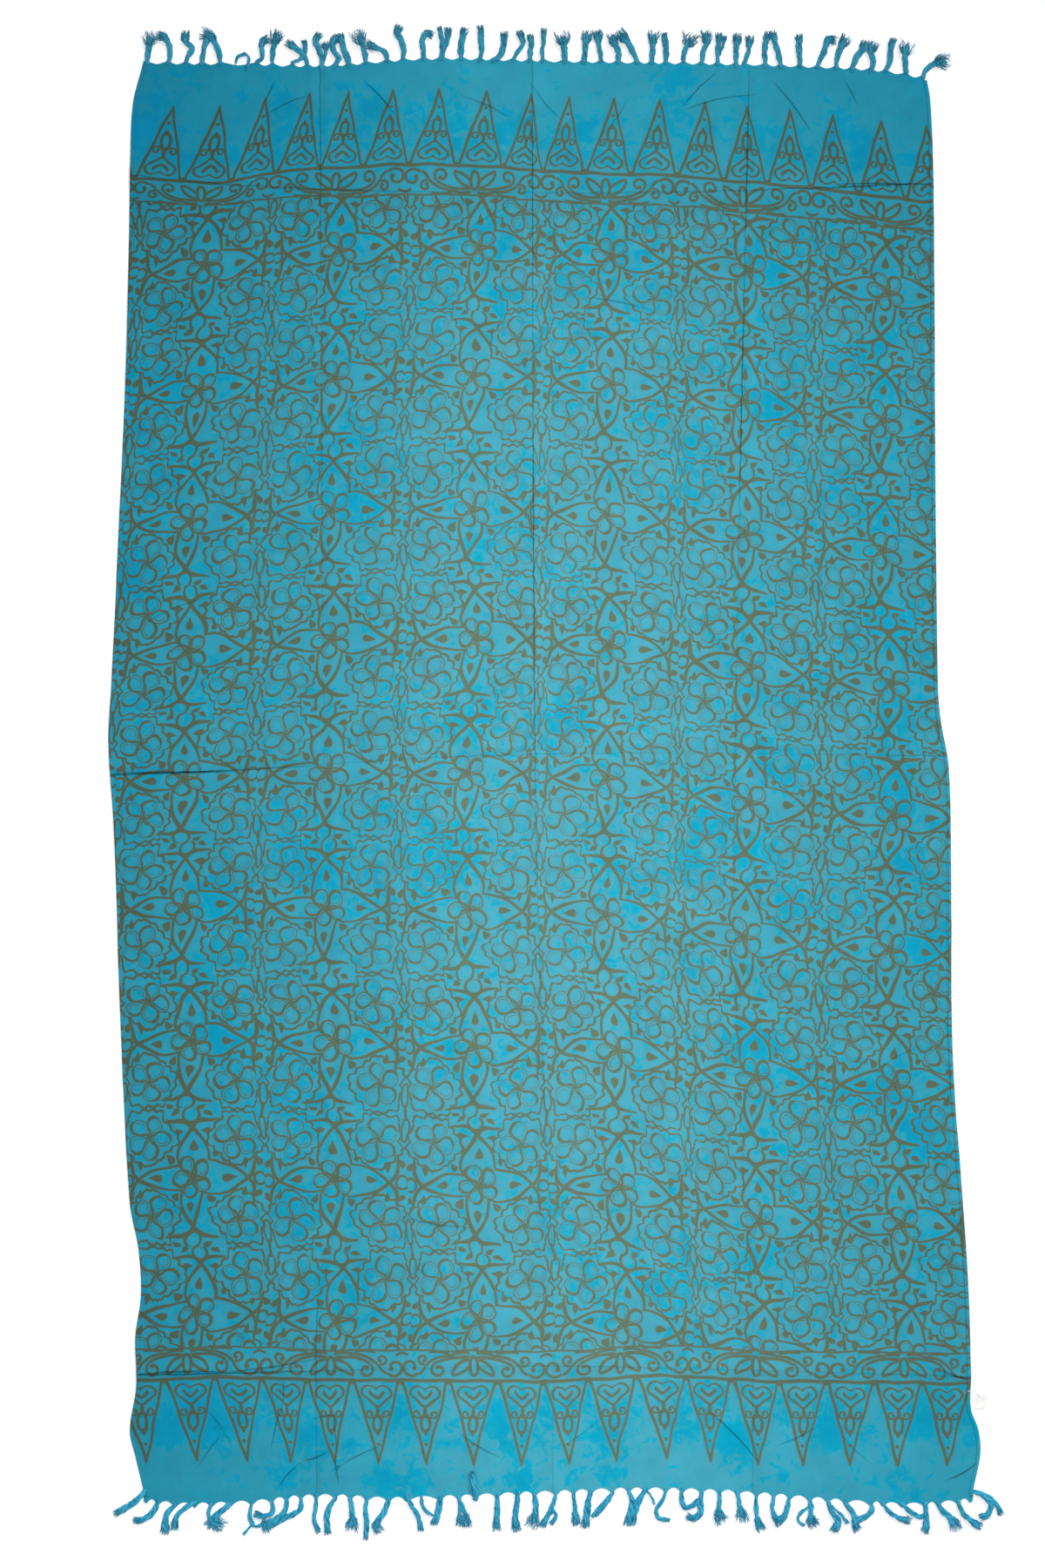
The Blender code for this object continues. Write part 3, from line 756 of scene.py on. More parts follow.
# %% Tassel rows
TASSELS_TOP = (
    # width, brush, then x and y of the root, of each bend and of the tip, in millimetres
    (9.9, 1.6, -515, 909, -515, 922, -513, 934, -513, 945),
    (8.8, 1.0, -489, 909, -486, 921, -489, 934, -494, 942, -502, 943),
    (8.8, 0.9, -466, 911, -463, 917, -457, 927, -466, 936, -467, 948),
    (8.8, 0.8, -446, 908, -444, 921, -442, 932, -436, 944),
    (8.8, 1.3, -423, 908, -424, 922, -430, 934, -436, 943, -445, 946),
    (4.4, 0.2, -403, 910, -401, 916, -393, 920, -387, 915, -389, 903),
    (7.7, 0.9, -377, 910, -369, 916, -370, 926, -369, 935, -362, 939),
    (7.7, 1.4, -357, 910, -356, 923, -354, 936, -351, 948),
    (6.6, 0.6, -332, 910, -323, 913, -315, 923, -318, 937),
    (8.8, 0.9, -313, 909, -317, 919, -327, 927, -338, 935),
    (8.8, 0.8, -295, 903, -294, 914, -299, 926, -302, 936, -298, 946),
    (4.4, 0.9, -293, 910, -289, 923, -291, 934),
    (8.8, 1.0, -279, 904, -274, 915, -281, 926, -280, 936, -273, 941),
    (9.9, 0.8, -260, 906, -265, 920, -268, 932, -272, 945),
    (8.8, 1.7, -239, 911, -240, 923, -244, 934, -249, 947),
    (7.7, 1.0, -212, 912, -214, 922, -222, 926, -232, 930, -238, 933),
    (9.9, 0.9, -192, 916, -191, 925, -194, 937, -199, 947, -197, 955),
    (8.8, 0.8, -166, 914, -166, 925, -168, 937, -164, 946, -155, 944),
    (6.6, 0.5, -145, 914, -142, 927, -144, 941, -146, 954),
    (6.6, 0.8, -142, 914, -141, 926, -136, 938, -135, 952),
    (9.9, 0.8, -118, 914, -119, 925, -117, 937, -114, 952),
    (8.8, 0.7, -95, 912, -93, 923, -93, 936, -94, 955),
    (9.9, 0.8, -78, 912, -68, 920, -65, 934, -65, 947),
    (6.6, 0.9, -53, 912, -48, 922, -41, 934, -45, 948),
    (8.8, 0.7, -32, 911, -31, 923, -31, 933, -32, 944),
    (6.6, 0.6, -15, 911, -16, 923, -15, 936, -14, 952),
    (9.9, 1.6, 12, 911, 12, 923, 10, 934, 8, 945),
    (9.9, 1.3, 36, 910, 37, 923, 38, 935, 41, 947),
    (7.7, 1.1, 58, 911, 57, 923, 54, 936, 53, 949),
    (8.8, 1.2, 79, 910, 80, 922, 75, 934, 72, 944),
    (9.9, 1.3, 104, 910, 98, 923, 90, 936, 80, 947),
    (8.8, 1.2, 122, 910, 123, 923, 123, 936, 125, 947),
    (9.9, 0.6, 140, 910, 140, 923, 140, 934, 138, 946),
    (7.7, 1.8, 162, 911, 163, 922, 168, 933, 171, 943),
    (8.8, 1.2, 185, 909, 188, 923, 191, 936, 192, 948),
    (7.7, 0.7, 205, 908, 206, 921, 206, 934, 207, 946),
    (3.3, 0.5, 208, 921, 212, 932, 214, 942),
    (7.7, 1.0, 229, 906, 228, 921, 229, 934, 230, 944),
    (6.6, 0.9, 238, 906, 243, 920, 244, 931, 245, 942),
    (7.7, 0.8, 266, 905, 265, 921, 266, 934, 269, 946),
    (8.8, 0.8, 285, 904, 281, 921, 278, 934, 274, 948),
    (9.9, 0.8, 309, 905, 309, 921, 307, 933, 307, 944),
    (8.8, 0.9, 331, 904, 336, 917, 342, 930, 345, 939, 353, 937),
    (8.8, 1.2, 355, 903, 357, 917, 361, 930, 368, 941),
    (9.9, 0.9, 375, 901, 381, 915, 388, 927, 392, 936),
    (8.8, 1.2, 398, 898, 402, 911, 399, 923, 402, 934),
    (8.8, 0.8, 417, 900, 423, 913, 423, 926, 427, 939),
    (9.9, 1.6, 443, 898, 442, 911, 443, 923, 446, 933),
    (8.8, 1.7, 465, 891, 469, 902, 481, 909, 496, 911),
)
TASSELS_BOTTOM = (
    # width, brush, then x and y of the root, of each bend and of the tip, in millimetres
    (9.9, 0.7, -519, -894, -529, -906, -542, -915, -556, -922),
    (9.9, 0.7, -502, -908, -509, -921, -520, -930, -532, -930),
    (8.8, 1.0, -480, -911, -490, -921, -492, -934, -492, -946),
    (7.7, 0.8, -455, -908, -469, -916, -479, -927, -480, -941),
    (6.6, 0.9, -434, -910, -438, -921, -434, -932, -439, -937),
    (9.9, 1.5, -410, -910, -424, -921, -430, -930, -421, -938),
    (5.5, 0.3, -383, -909, -386, -924, -381, -937, -371, -936, -368, -927),
    (2.2, 0.3, -381, -934, -387, -941, -393, -948),
    (7.7, 0.7, -358, -906, -357, -921, -367, -925, -379, -922),
    (8.8, 0.9, -339, -905, -340, -917, -351, -928, -365, -935, -364, -944),
    (8.8, 0.8, -321, -903, -321, -916, -332, -923, -349, -931, -361, -937),
    (6.6, 0.6, -302, -899, -303, -914, -303, -931, -298, -945),
    (8.8, 0.7, -278, -903, -285, -915, -289, -931, -287, -947),
    (8.8, 1.4, -259, -904, -257, -917, -256, -931, -257, -942),
    (7.7, 0.5, -238, -903, -239, -917, -238, -934, -239, -954),
    (9.9, 1.1, -210, -904, -216, -921, -225, -935, -222, -945),
    (6.6, 0.6, -188, -900, -182, -912, -173, -925, -169, -943),
    (4.4, 0.2, -169, -900, -167, -912, -160, -921, -151, -925),
    (9.9, 0.8, -145, -901, -147, -914, -149, -927, -155, -935),
    (6.6, 1.0, -122, -901, -118, -912, -112, -925, -111, -937),
    (4.4, 0.8, -122, -902, -120, -916, -120, -936),
    (9.0, 0.5, -101, -899, -100, -905, -101, -897, -102, -884, -105, -869),
    (8.8, 0.9, -73, -901, -73, -914, -74, -927, -73, -942),
    (8.8, 0.9, -47, -895, -48, -912, -50, -927, -48, -943),
    (8.8, 1.5, -26, -898, -24, -912, -26, -926, -29, -937),
    (6.6, 0.7, 1, -899, -4, -911, -9, -924, -17, -938),
    (4.4, 0.5, -6, -914, 1, -925, -6, -935),
    (5.5, 1.0, 23, -895, 24, -909, 25, -923, 28, -935),
    (9.9, 0.9, 45, -895, 41, -910, 40, -923, 38, -939),
    (9.9, 0.3, 72, -897, 62, -910, 53, -920, 46, -926),
    (9.9, 0.8, 93, -893, 97, -909, 94, -923, 91, -936),
    (8.8, 0.8, 114, -892, 106, -905, 101, -920, 98, -935),
    (2.2, 0.2, 115, -892, 120, -899, 125, -910),
    (6.6, 0.4, 140, -893, 135, -908, 127, -917, 131, -927, 144, -930),
    (7.7, 0.4, 160, -892, 160, -905, 164, -914, 175, -911, 180, -904),
    (9.9, 0.7, 185, -894, 183, -908, 184, -920, 177, -928, 167, -925),
    (7.7, 1.4, 207, -894, 208, -909, 207, -922, 211, -931),
    (7.7, 1.3, 230, -894, 233, -909, 236, -922, 237, -930),
    (6.6, 1.0, 254, -901, 254, -914, 256, -931, 261, -942),
    (6.6, 0.9, 276, -901, 274, -914, 277, -927, 284, -934),
    (7.7, 0.9, 296, -900, 294, -914, 289, -926, 280, -933),
    (7.7, 1.3, 321, -903, 324, -915, 323, -927, 327, -937),
    (3.3, 0.3, 322, -912, 309, -923, 307, -931, 314, -937),
    (8.8, 0.9, 344, -905, 350, -919, 358, -932, 351, -944),
    (8.8, 0.9, 366, -908, 376, -922, 378, -934, 382, -943),
    (3.3, 0.4, 351, -914, 360, -923, 369, -934),
    (8.8, 0.8, 399, -908, 400, -919, 391, -926, 378, -932),
    (6.6, 0.8, 413, -909, 423, -921, 435, -928, 448, -931),
    (7.7, 0.5, 438, -909, 448, -920, 460, -926, 468, -923),
    (8.8, 0.9, 468, -909, 469, -922, 469, -934, 468, -946),
    (9.9, 1.3, 483, -909, 492, -921, 502, -931, 507, -941),
    (7.7, 0.8, 509, -905, 513, -920, 524, -930, 537, -939),
    (8.8, 0.8, 529, -894, 542, -900, 551, -910, 545, -924, 537, -926),
    (6.6, 0.6, 531, -894, 546, -901, 557, -911, 563, -923),
)
LEAST_TASSEL = 5.0  # a thinner strand than this draws no point out of the end
top_roots = [x for width, _, x, *_ in TASSELS_TOP if width > LEAST_TASSEL]
bottom_roots = [x for width, _, x, *_ in TASSELS_BOTTOM if width > LEAST_TASSEL]
print(len(TASSELS_TOP), "tassels and strands at the top,", len(TASSELS_BOTTOM), "at the bottom")

# %% Scalloped woven ends
END_COLUMN_STEP = 2.3
END_OVERLAP = 0.4  # how far a woven end reaches under the panel
END_DROP = 0.03  # how far it lies below the panel
END_INSET = 0.6  # how far it stands in from the sides
END_ROWS = 6
CORNER_INSET = 4.0  # how far in from the sides the outermost points are drawn out
LEAST_INSET = 12.0  # the other points stand at least this far in
CORNER_BEYOND = 8.0  # how far outside the sides the dips past the outermost points would lie
SCALLOPS = {"top": (4.6, 1.4), "bottom": (7.8, 2.0)}  # depth, sharpness of the points


def woven_end(name, roots, end, panel_edge, outward, depth, sharpness):
    """The strip past the panel, drawn out to a point at each tassel."""
    middle = float(smooth_value(end, 0))
    left, right = float(smooth_value(LEFT_SIDE, middle)), float(smooth_value(RIGHT_SIDE, middle))
    x = np.linspace(left + END_INSET, right - END_INSET, int((right - left) / END_COLUMN_STEP))
    inner = [root for root in roots if left + LEAST_INSET < root < right - LEAST_INSET]
    roots = np.array([left + CORNER_INSET, *inner, right - CORNER_INSET])
    middles = np.concatenate([[left - CORNER_BEYOND], (roots[1:] + roots[:-1]) / 2, [right + CORNER_BEYOND]])
    nearest = np.abs(x[:, None] - roots).argmin(1)
    root = roots[nearest]
    half = np.where(x < root, root - middles[nearest], middles[nearest + 1] - root)
    off = np.clip(np.abs(x - root) / half, 0, 1)
    near = panel_edge(x) - outward * END_OVERLAP
    far = smooth_value(end, x) + outward * depth * (1 - off) ** sharpness
    shares = np.linspace(0, 1, END_ROWS)[:, None]
    x, y = np.broadcast_to(x, (END_ROWS, len(x))).copy(), near * (1 - shares) + far * shares
    if outward < 0:
        x, y = x[::-1], y[::-1]
    return cloth_piece(name, x, y, END_DROP)


end_top = woven_end("woven_end_top", top_roots, TOP_END, panel_top, 1, *SCALLOPS["top"])
end_bottom = woven_end("woven_end_bottom", bottom_roots, BOTTOM_END, panel_bottom, -1, *SCALLOPS["bottom"])
print("woven ends:", len(end_top.data.polygons), "and", len(end_bottom.data.polygons), "faces")

# %% [markdown]
# ## Twisted fringe
#
# A tassel is a flat bundle of loosely turned yarn, bound by nothing, so its tip frays to a brush. Every
# tassel follows the same rule with another path, which is what Geometry Nodes are for: the script lays one
# line of points for each tassel, and the tree turns each line into yarns, loose fibres and a frayed tip.
# Modelling a hundred of them by hand would take far longer and look no different.

# %% Tassel lines
ROOT_DEPTH = 1.4  # how far a tassel starts inside the woven end
TASSEL_REST = 2.3  # height of a tassel's middle as it lies on the floor
FULL_WIDTH = 8.8  # width of the widest ordinary tassel, which counts as 1
ROOT_SINK = 0.2  # how far below the cloth's face a tassel starts
FALLEN_BACK = 2.0  # a bend that is less far out than this lies over the cloth
WOBBLE = 0.8  # how far a bend may lie to either side of its place


def tassel_lines(name, tassels, outward, seed):
    """A mesh of one open line of points for each tassel, from its root to its tip."""
    draw = random.Random(seed)
    points, edges, stored = [], [], {"fatness": [], "brush": [], "phase": []}
    for width, brush, *places in tassels:
        route = list(zip(places[::2], places[1::2]))
        root = (route[0][0], route[0][1] - outward * ROOT_DEPTH)
        turn = draw.uniform(0, math.tau)
        for k, (x, y) in enumerate([root, *route]):
            held = float(rest_height(np.array([float(x)]), np.array([float(y)]))[0]) - ROOT_SINK
            z = held if k == 0 else TASSEL_REST if k > 1 else (held + TASSEL_REST) / 2
            if k > 2 and outward * (y - route[0][1]) < FALLEN_BACK:
                z = held + 2 * TASSEL_REST
            wobble = draw.uniform(-WOBBLE, WOBBLE) * (k > 1)
            points.append(Vector((x + wobble, y, z)) * MM)
            for label, value in (("fatness", width / FULL_WIDTH), ("brush", brush), ("phase", turn)):
                stored[label].append(value)
            if k:
                edges.append((len(points) - 2, len(points) - 1))
    mesh = bpy.data.meshes.new(name)
    mesh.from_pydata(points, edges, [])
    for label, values in stored.items():
        mesh.attributes.new(label, "FLOAT", "POINT").data.foreach_set("value", values)
    return new_object(name, mesh)


fringe_top = tassel_lines("tassels_top", TASSELS_TOP, 1, 5)
fringe_bottom = tassel_lines("tassels_bottom", TASSELS_BOTTOM, -1, 6)
print("tassel lines:", len(fringe_top.data.edges), "and", len(fringe_bottom.data.edges), "steps")

# %% The tree that twists the yarn
# Place along a tassel, and there the bundle's width, a yarn's thickness and the spread of the brush
BUNDLE_PROFILE = ((0, 0.55), (0.12, 0.7), (0.35, 0.95), (0.7, 1.0), (0.9, 1.1), (1, 1.0))
YARN_PROFILE = ((0, 0.8), (0.2, 0.95), (0.8, 1.0), (0.93, 0.75), (1, 0.25))
SPREAD_PROFILE = ((0, 0.0), (0.3, 0.35), (0.6, 0.75), (1, 1.0))
LINE_POINTS = 22  # on each yarn
BUNDLE_FLATNESS = 0.3  # height of a bundle as a share of its width
YARN_DISTANCES = (0.55, 1.0)  # of yarns from the middle, as shares of the bundle's radius
LUMPS_PER_METRE = 120.0
LUMP_SIZE = (5.0 * MM, 5.0 * MM, 2.0 * MM)
SLIMMING = 0.6  # power that makes the yarns of a thin tassel a little thinner
SHORTEST_YARN = 0.84  # as a share of the line
BRUSH_START = 0.62  # share of the line where the fibres come loose
BRUSH_POINTS = 7  # on each loose fibre
BRUSH_ROOT = 0.7  # width of the brush where it starts, as a share of its spread
KINK_TURN = 8.0  # radians of a fibre's wave along the brush
KINK_SIZE = 0.42  # how far it waves, as a share of the spread
FIBRE_CLEARANCE = 1.1  # of a fibre's middle from the floor, in radii


def curve_points(node, points):
    """Gives a curve node its points and hands it back."""
    curve = node.mapping.curves[0]
    for place, value in points[1:-1]:
        curve.points.new(place, value)
    curve.points[0].location, curve.points[-1].location = points[0], points[-1]
    node.mapping.update()
    return node


def new_tree(name, inputs):
    """An empty geometry tree with a geometry input and the named sizes, and its input node."""
    tree = bpy.data.node_groups.new(name, "GeometryNodeTree")
    tree.interface.new_socket("Geometry", in_out="OUTPUT", socket_type="NodeSocketGeometry")
    tree.interface.new_socket("Geometry", in_out="INPUT", socket_type="NodeSocketGeometry")
    for label, kind in inputs:
        tree.interface.new_socket(label, in_out="INPUT", socket_type="NodeSocket" + kind)
    return tree, tree.nodes.new("NodeGroupInput")


def run_tree(piece, tree, **values):
    """Runs a tree on a piece with the sizes named, and leaves a plain mesh."""
    modifier = piece.modifiers.new(tree.name, "NODES")
    modifier.node_group = tree
    for socket in tree.interface.items_tree:
        label = socket.name.lower().replace(" ", "_")
        if socket.in_out == "INPUT" and label in values:
            modifier[socket.identifier] = values[label]
    return settle(piece)


def scattered(tree, low, high, seed, seeds, kind="FLOAT"):
    """A random value for each ply or fibre, the same all along it."""
    return add(tree, "FunctionNodeRandomValue", low, high, seeds, seed, data_type=kind)


def twist_tree():
    """Turns lines into flat bundles of turning yarns with a frayed brush at the tip."""
    inputs = (
        ("Bundle Radius", "Float"), ("Yarn Radius", "Float"), ("Twist Length", "Float"), ("Yarns", "Int"),
        ("Fibres", "Int"), ("Fibre Radius", "Float"), ("Brush Spread", "Float"), ("Seed", "Int"),
        ("Yarn", "Material"),
    )
    tree, given = new_tree("twisted tassels", inputs)
    size = given.outputs
    lines = add(tree, "GeometryNodeMeshToCurve", size["Geometry"])
    smooth = add(tree, "GeometryNodeCurveSplineType", lines, spline_type="CATMULL_ROM")
    core = add(tree, "GeometryNodeResampleCurve", smooth, named={"Count": LINE_POINTS})
    level = add(tree, "GeometryNodeSetCurveNormal", core, mode="Z_UP")
    phase = add(tree, "GeometryNodeInputNamedAttribute", "phase", data_type="FLOAT")
    fatness = add(tree, "GeometryNodeInputNamedAttribute", "fatness", data_type="FLOAT")
    place = add(tree, "GeometryNodeSplineParameter")
    normal = add(tree, "GeometryNodeInputNormal")

    # Yarns wind slowly round the line in a flattened bundle, each at its own distance from the middle
    yarns = add(tree, "GeometryNodeDuplicateElements", level, None, size["Yarns"], domain="SPLINE")
    number = yarns.outputs["Duplicate Index"]
    own_share = add(tree, OVER, number, size["Yarns"])
    own_angle = add(tree, TIMES_PLUS, own_share, math.tau, phase.outputs[0])
    turns = add(tree, OVER, place.outputs["Length"], size["Twist Length"])
    angle = add(tree, TIMES_PLUS, turns, math.tau, own_angle)
    bundle = curve_points(add(tree, "ShaderNodeFloatCurve", 1.0, place.outputs["Factor"]), BUNDLE_PROFILE)
    fat = add(tree, TIMES, bundle, fatness.outputs[0])
    reach = add(tree, TIMES, fat, size["Bundle Radius"])
    distance = scattered(tree, *YARN_DISTANCES, 70, number)
    across = add(tree, TIMES, add(tree, COSINE, angle), distance)
    above = add(tree, TIMES, add(tree, SINE, angle), BUNDLE_FLATNESS)
    up = add(tree, COMBINE, 0.0, 0.0, above)
    sideways = add(tree, V_SCALED, normal, across)
    wound = add(tree, V_PLUS, sideways, up)
    wound_place = add(tree, V_SCALED, wound, reach)
    own_turn = add(tree, TIMES, number, 2.3)
    lump_sizes = {"W": own_turn, "Scale": LUMPS_PER_METRE, "Detail": 1.0}
    lumps = add(tree, NOISE, named=lump_sizes, noise_dimensions="4D")
    lumpy = add(tree, V_PLUS, lumps.outputs["Color"], (-0.5, -0.5, -0.5))
    offset = add(tree, V_TIMES_PLUS, lumpy, LUMP_SIZE, wound_place)
    wound_yarns = add(tree, "GeometryNodeSetPosition", yarns, None, None, offset)
    yarn_shade = scattered(tree, 0.0, 1.0, size["Seed"], number)
    kept = {"domain": "POINT", "data_type": "FLOAT"}
    shaded_yarns = add(
        tree, "GeometryNodeStoreNamedAttribute", wound_yarns, None, "yarn_shade", yarn_shade, **kept
    )
    section = add(tree, "GeometryNodeCurvePrimitiveCircle", 6, named={"Radius": 1.0})
    thickness = curve_points(add(tree, "ShaderNodeFloatCurve", 1.0, place.outputs["Factor"]), YARN_PROFILE)
    slim = add(tree, POWER, fatness.outputs[0], SLIMMING)
    radius = add(tree, TIMES, add(tree, TIMES, thickness, slim), size["Yarn Radius"])
    yarn_end = scattered(tree, SHORTEST_YARN, 1.0, 75, None)
    ragged = add(tree, "GeometryNodeTrimCurve", shaded_yarns, None, 0.0, yarn_end, mode="FACTOR")
    yarn_bodies = add(tree, "GeometryNodeCurveToMesh", ragged, section, radius, True)

    # The tip frays: fibres spread out from the last part of the line
    tips = add(tree, "GeometryNodeTrimCurve", level, None, BRUSH_START, 1.0, mode="FACTOR")
    short = add(tree, "GeometryNodeResampleCurve", tips, named={"Count": BRUSH_POINTS})
    flat_tips = add(tree, "GeometryNodeSetCurveNormal", short, mode="Z_UP")
    fibres = add(tree, "GeometryNodeDuplicateElements", flat_tips, None, size["Fibres"], domain="SPLINE")
    spline = add(tree, "GeometryNodeInputIndex")
    own = add(tree, "GeometryNodeFieldOnDomain", spline, domain="CURVE", data_type="INT")
    spread_across = scattered(tree, -1.0, 1.0, size["Seed"], own)
    spread_up = scattered(tree, -0.5, 0.5, 71, own)
    spread_length = scattered(tree, -1.3, 0.9, 72, own)
    kink = scattered(tree, -1.0, 1.0, 73, own)
    growth = curve_points(add(tree, "ShaderNodeFloatCurve", 1.0, place.outputs["Factor"]), SPREAD_PROFILE)
    kinked = add(tree, TIMES, place.outputs["Factor"], KINK_TURN)
    kink_wave = add(tree, SINE, kinked)
    kink_side = add(tree, TIMES, kink_wave, kink)
    base_side = add(tree, TIMES, spread_across, BRUSH_ROOT)
    grown = add(tree, TIMES_PLUS, growth, spread_across, base_side)
    side = add(tree, TIMES_PLUS, kink_side, KINK_SIZE, grown)
    side_vector = add(tree, V_SCALED, normal, side)
    rise = add(tree, COMBINE, 0.0, 0.0, spread_up)
    tangent = add(tree, "GeometryNodeInputTangent")
    longer = add(tree, TIMES, growth, spread_length)
    ahead = add(tree, V_SCALED, tangent, longer)
    first_sum = add(tree, V_PLUS, side_vector, rise)
    full_sum = add(tree, V_PLUS, first_sum, ahead)
    brush = add(tree, "GeometryNodeInputNamedAttribute", "brush", data_type="FLOAT")
    spread = add(tree, TIMES, size["Brush Spread"], brush.outputs[0])
    brush_offset = add(tree, V_SCALED, full_sum, spread)
    spread_fibres = add(tree, "GeometryNodeSetPosition", fibres, None, None, brush_offset)
    x, y, z = add(tree, SEPARATE, add(tree, "GeometryNodeInputPosition")).outputs
    lowest = add(tree, TIMES, size["Fibre Radius"], FIBRE_CLEARANCE)
    clear_height = add(tree, MOST, z, lowest)
    lying = add(tree, COMBINE, x, y, clear_height)
    spread_fibres = add(tree, "GeometryNodeSetPosition", spread_fibres, None, lying)
    fibre_shade = scattered(tree, 0.0, 1.0, 74, own)
    shaded_fibres = add(
        tree, "GeometryNodeStoreNamedAttribute", spread_fibres, None, "yarn_shade", fibre_shade, **kept
    )
    fibre_section = add(tree, "GeometryNodeCurvePrimitiveCircle", 3, named={"Radius": 1.0})
    fibre_bodies = add(
        tree, "GeometryNodeCurveToMesh", shaded_fibres, fibre_section, size["Fibre Radius"], True
    )

    both = add(tree, "GeometryNodeJoinGeometry", yarn_bodies)
    tree.links.new(fibre_bodies.outputs[0], both.inputs[0])
    smooth_shaded = add(tree, "GeometryNodeSetShadeSmooth", both)
    real = add(tree, "GeometryNodeRealizeInstances", smooth_shaded)
    dyed = add(tree, "GeometryNodeSetMaterial", real, None, size["Yarn"])
    add(tree, "NodeGroupOutput", dyed)
    return tree


TWIST = {
    "bundle_radius": 3.1 * MM,
    "yarn_radius": 1.45 * MM,
    "twist_length": 36 * MM,
    "yarns": 6,
    "fibres": 44,
    "fibre_radius": 0.36 * MM,
    "brush_spread": 3.6 * MM,
}
twist = twist_tree()
print("twist tree:", len(twist.nodes), "nodes")

# %% Dyed yarn
# Rayon yarn: matt, and darker than the cloth. Painted shade darkens each yarn's sides, where the yarns press
# together, and the fringe towards the top end
FIBRES_PER_METRE = 900.0
YARN_BLUES = ("#00668A", "#3AA4C2")
dyed_yarn, tree = new_material("twisted rayon yarn")
shade = add(tree, STORED, attribute_name="yarn_shade").outputs["Fac"]
coordinates = add(tree, "ShaderNodeTexCoord")
place = coordinates.outputs["Object"]
patches = add(tree, NOISE, place, named={"Scale": 130.0, "Detail": 3.0})
mixed = add(tree, TIMES, shade, 0.5)
total = add(tree, PLUS, patches, mixed)
# Painted shade: darker where a yarn's face turns sideways, between the yarns
facing = add(tree, SEPARATE, coordinates.outputs["Normal"]).outputs["Z"]
crevice_shade = add(tree, RANGE, facing, 0.1, 0.9, 0.55, 1.0, interpolation_type="SMOOTHSTEP")
level = add(tree, TIMES, add(tree, RANGE, total, 0.35, 0.95, 0.0, 1.0), crevice_shade)
colour = add(tree, MIX, level, *map(linear, YARN_BLUES), data_type="RGBA")
# Painted shade and light: the yarn is darker towards the top end and lighter towards the bottom, as on the
# cloth
height = add(tree, SEPARATE, place).outputs["Y"]
yarn_falloff = add(tree, RANGE, height, -0.9, 0.9, 1.12, 0.76)
colour = add(tree, V_SCALED, colour, yarn_falloff)
fibre = add(tree, NOISE, place, named={"Scale": FIBRES_PER_METRE, "Detail": 2.0})
relief = add(tree, BUMP, named={"Strength": 0.5, "Distance": 0.0004, "Height": fibre})
shader = add(
    tree, "ShaderNodeBsdfPrincipled", colour, named={"Roughness": 0.88, "IOR": 1.45, "Normal": relief}
)
shader.inputs["Sheen Weight"].default_value = 0.04
shader.inputs["Specular IOR Level"].default_value = 0.2
add(tree, "ShaderNodeOutputMaterial", shader)
print("yarn material:", len(tree.nodes), "nodes")

# %% Twist both fringes
fringe_top = run_tree(fringe_top, twist, **TWIST, seed=11, yarn=dyed_yarn)
fringe_bottom = run_tree(fringe_bottom, twist, **TWIST, seed=23, yarn=dyed_yarn)
print("fringes:", len(fringe_top.data.polygons), "and", len(fringe_bottom.data.polygons), "faces")

# %% [markdown]
# ## Rolled side hems
#
# A rolled hem is the cloth's raw edge rolled under by a few millimetres and whipped down with small
# slanting stitches. A tube with an oval section follows each side over the folds. The stitches repeat at
# one spacing, so a second tree sets one small stitch on every place along the roll.

# %% Hem rolls
HEM_HEIGHT = 2.1
HEM_SECTION = 10  # points round the roll
HEM_STEP = 5.0
HEM_SHORT = 1.0  # how far a hem stands short of the scalloped end
LOOSE_STEPS = 6  # of the roll, from one loose or tight place to the next
LOOSENESS = (0.05, 0.14)  # how far these change its width and its height, as shares


def hem_rolls(name, side, inward, seed):
    """An oval tube along one side, a little uneven, with closed ends."""
    low = float(smooth_value(BOTTOM_END, side[0][1])) + HEM_SHORT
    high = float(smooth_value(TOP_END, side[-1][1])) - HEM_SHORT
    y = np.linspace(low, high, int((high - low) / HEM_STEP))
    draw = random.Random(seed)
    loose = np.array([draw.uniform(-1, 1) for _ in range(len(y) // LOOSE_STEPS + 2)])
    uneven = smooth_value(list(zip(np.linspace(low, high, len(loose)), loose)), y)
    middle = smooth_value(side, y) + inward * HEM_WIDTH / 2
    base = rest_height(middle, y) - FLAT_TOP
    points, faces = [], []
    for k in range(len(y)):
        half = HEM_WIDTH / 2 * (1 + LOOSENESS[0] * uneven[k])
        tall = HEM_HEIGHT / 2 * (1 + LOOSENESS[1] * uneven[k])
        for j in range(HEM_SECTION):
            turn = 2 * math.pi * j / HEM_SECTION
            x, z = middle[k] + half * math.cos(turn), base[k] + tall * (1 + math.sin(turn))
            points.append(Vector((x, y[k], z)) * MM)
    for k in range(len(y) - 1):
        for j in range(HEM_SECTION):
            a, b = k * HEM_SECTION + j, k * HEM_SECTION + (j + 1) % HEM_SECTION
            faces.append((a, b, b + HEM_SECTION, a + HEM_SECTION)[::-1])
    faces.append(tuple(range(HEM_SECTION)))
    faces.append(tuple(range((len(y) - 1) * HEM_SECTION, len(y) * HEM_SECTION))[::-1])
    piece = new_piece(name, points, faces)
    placed = np.array(points) / MM
    give_places(piece, placed[:, 0], placed[:, 1])
    return piece


hem_left = hem_rolls("hem_roll_left", LEFT_SIDE, 1, 31)
hem_right = hem_rolls("hem_roll_right", RIGHT_SIDE, -1, 32)
print("hems:", len(hem_left.data.polygons), "and", len(hem_right.data.polygons), "faces")

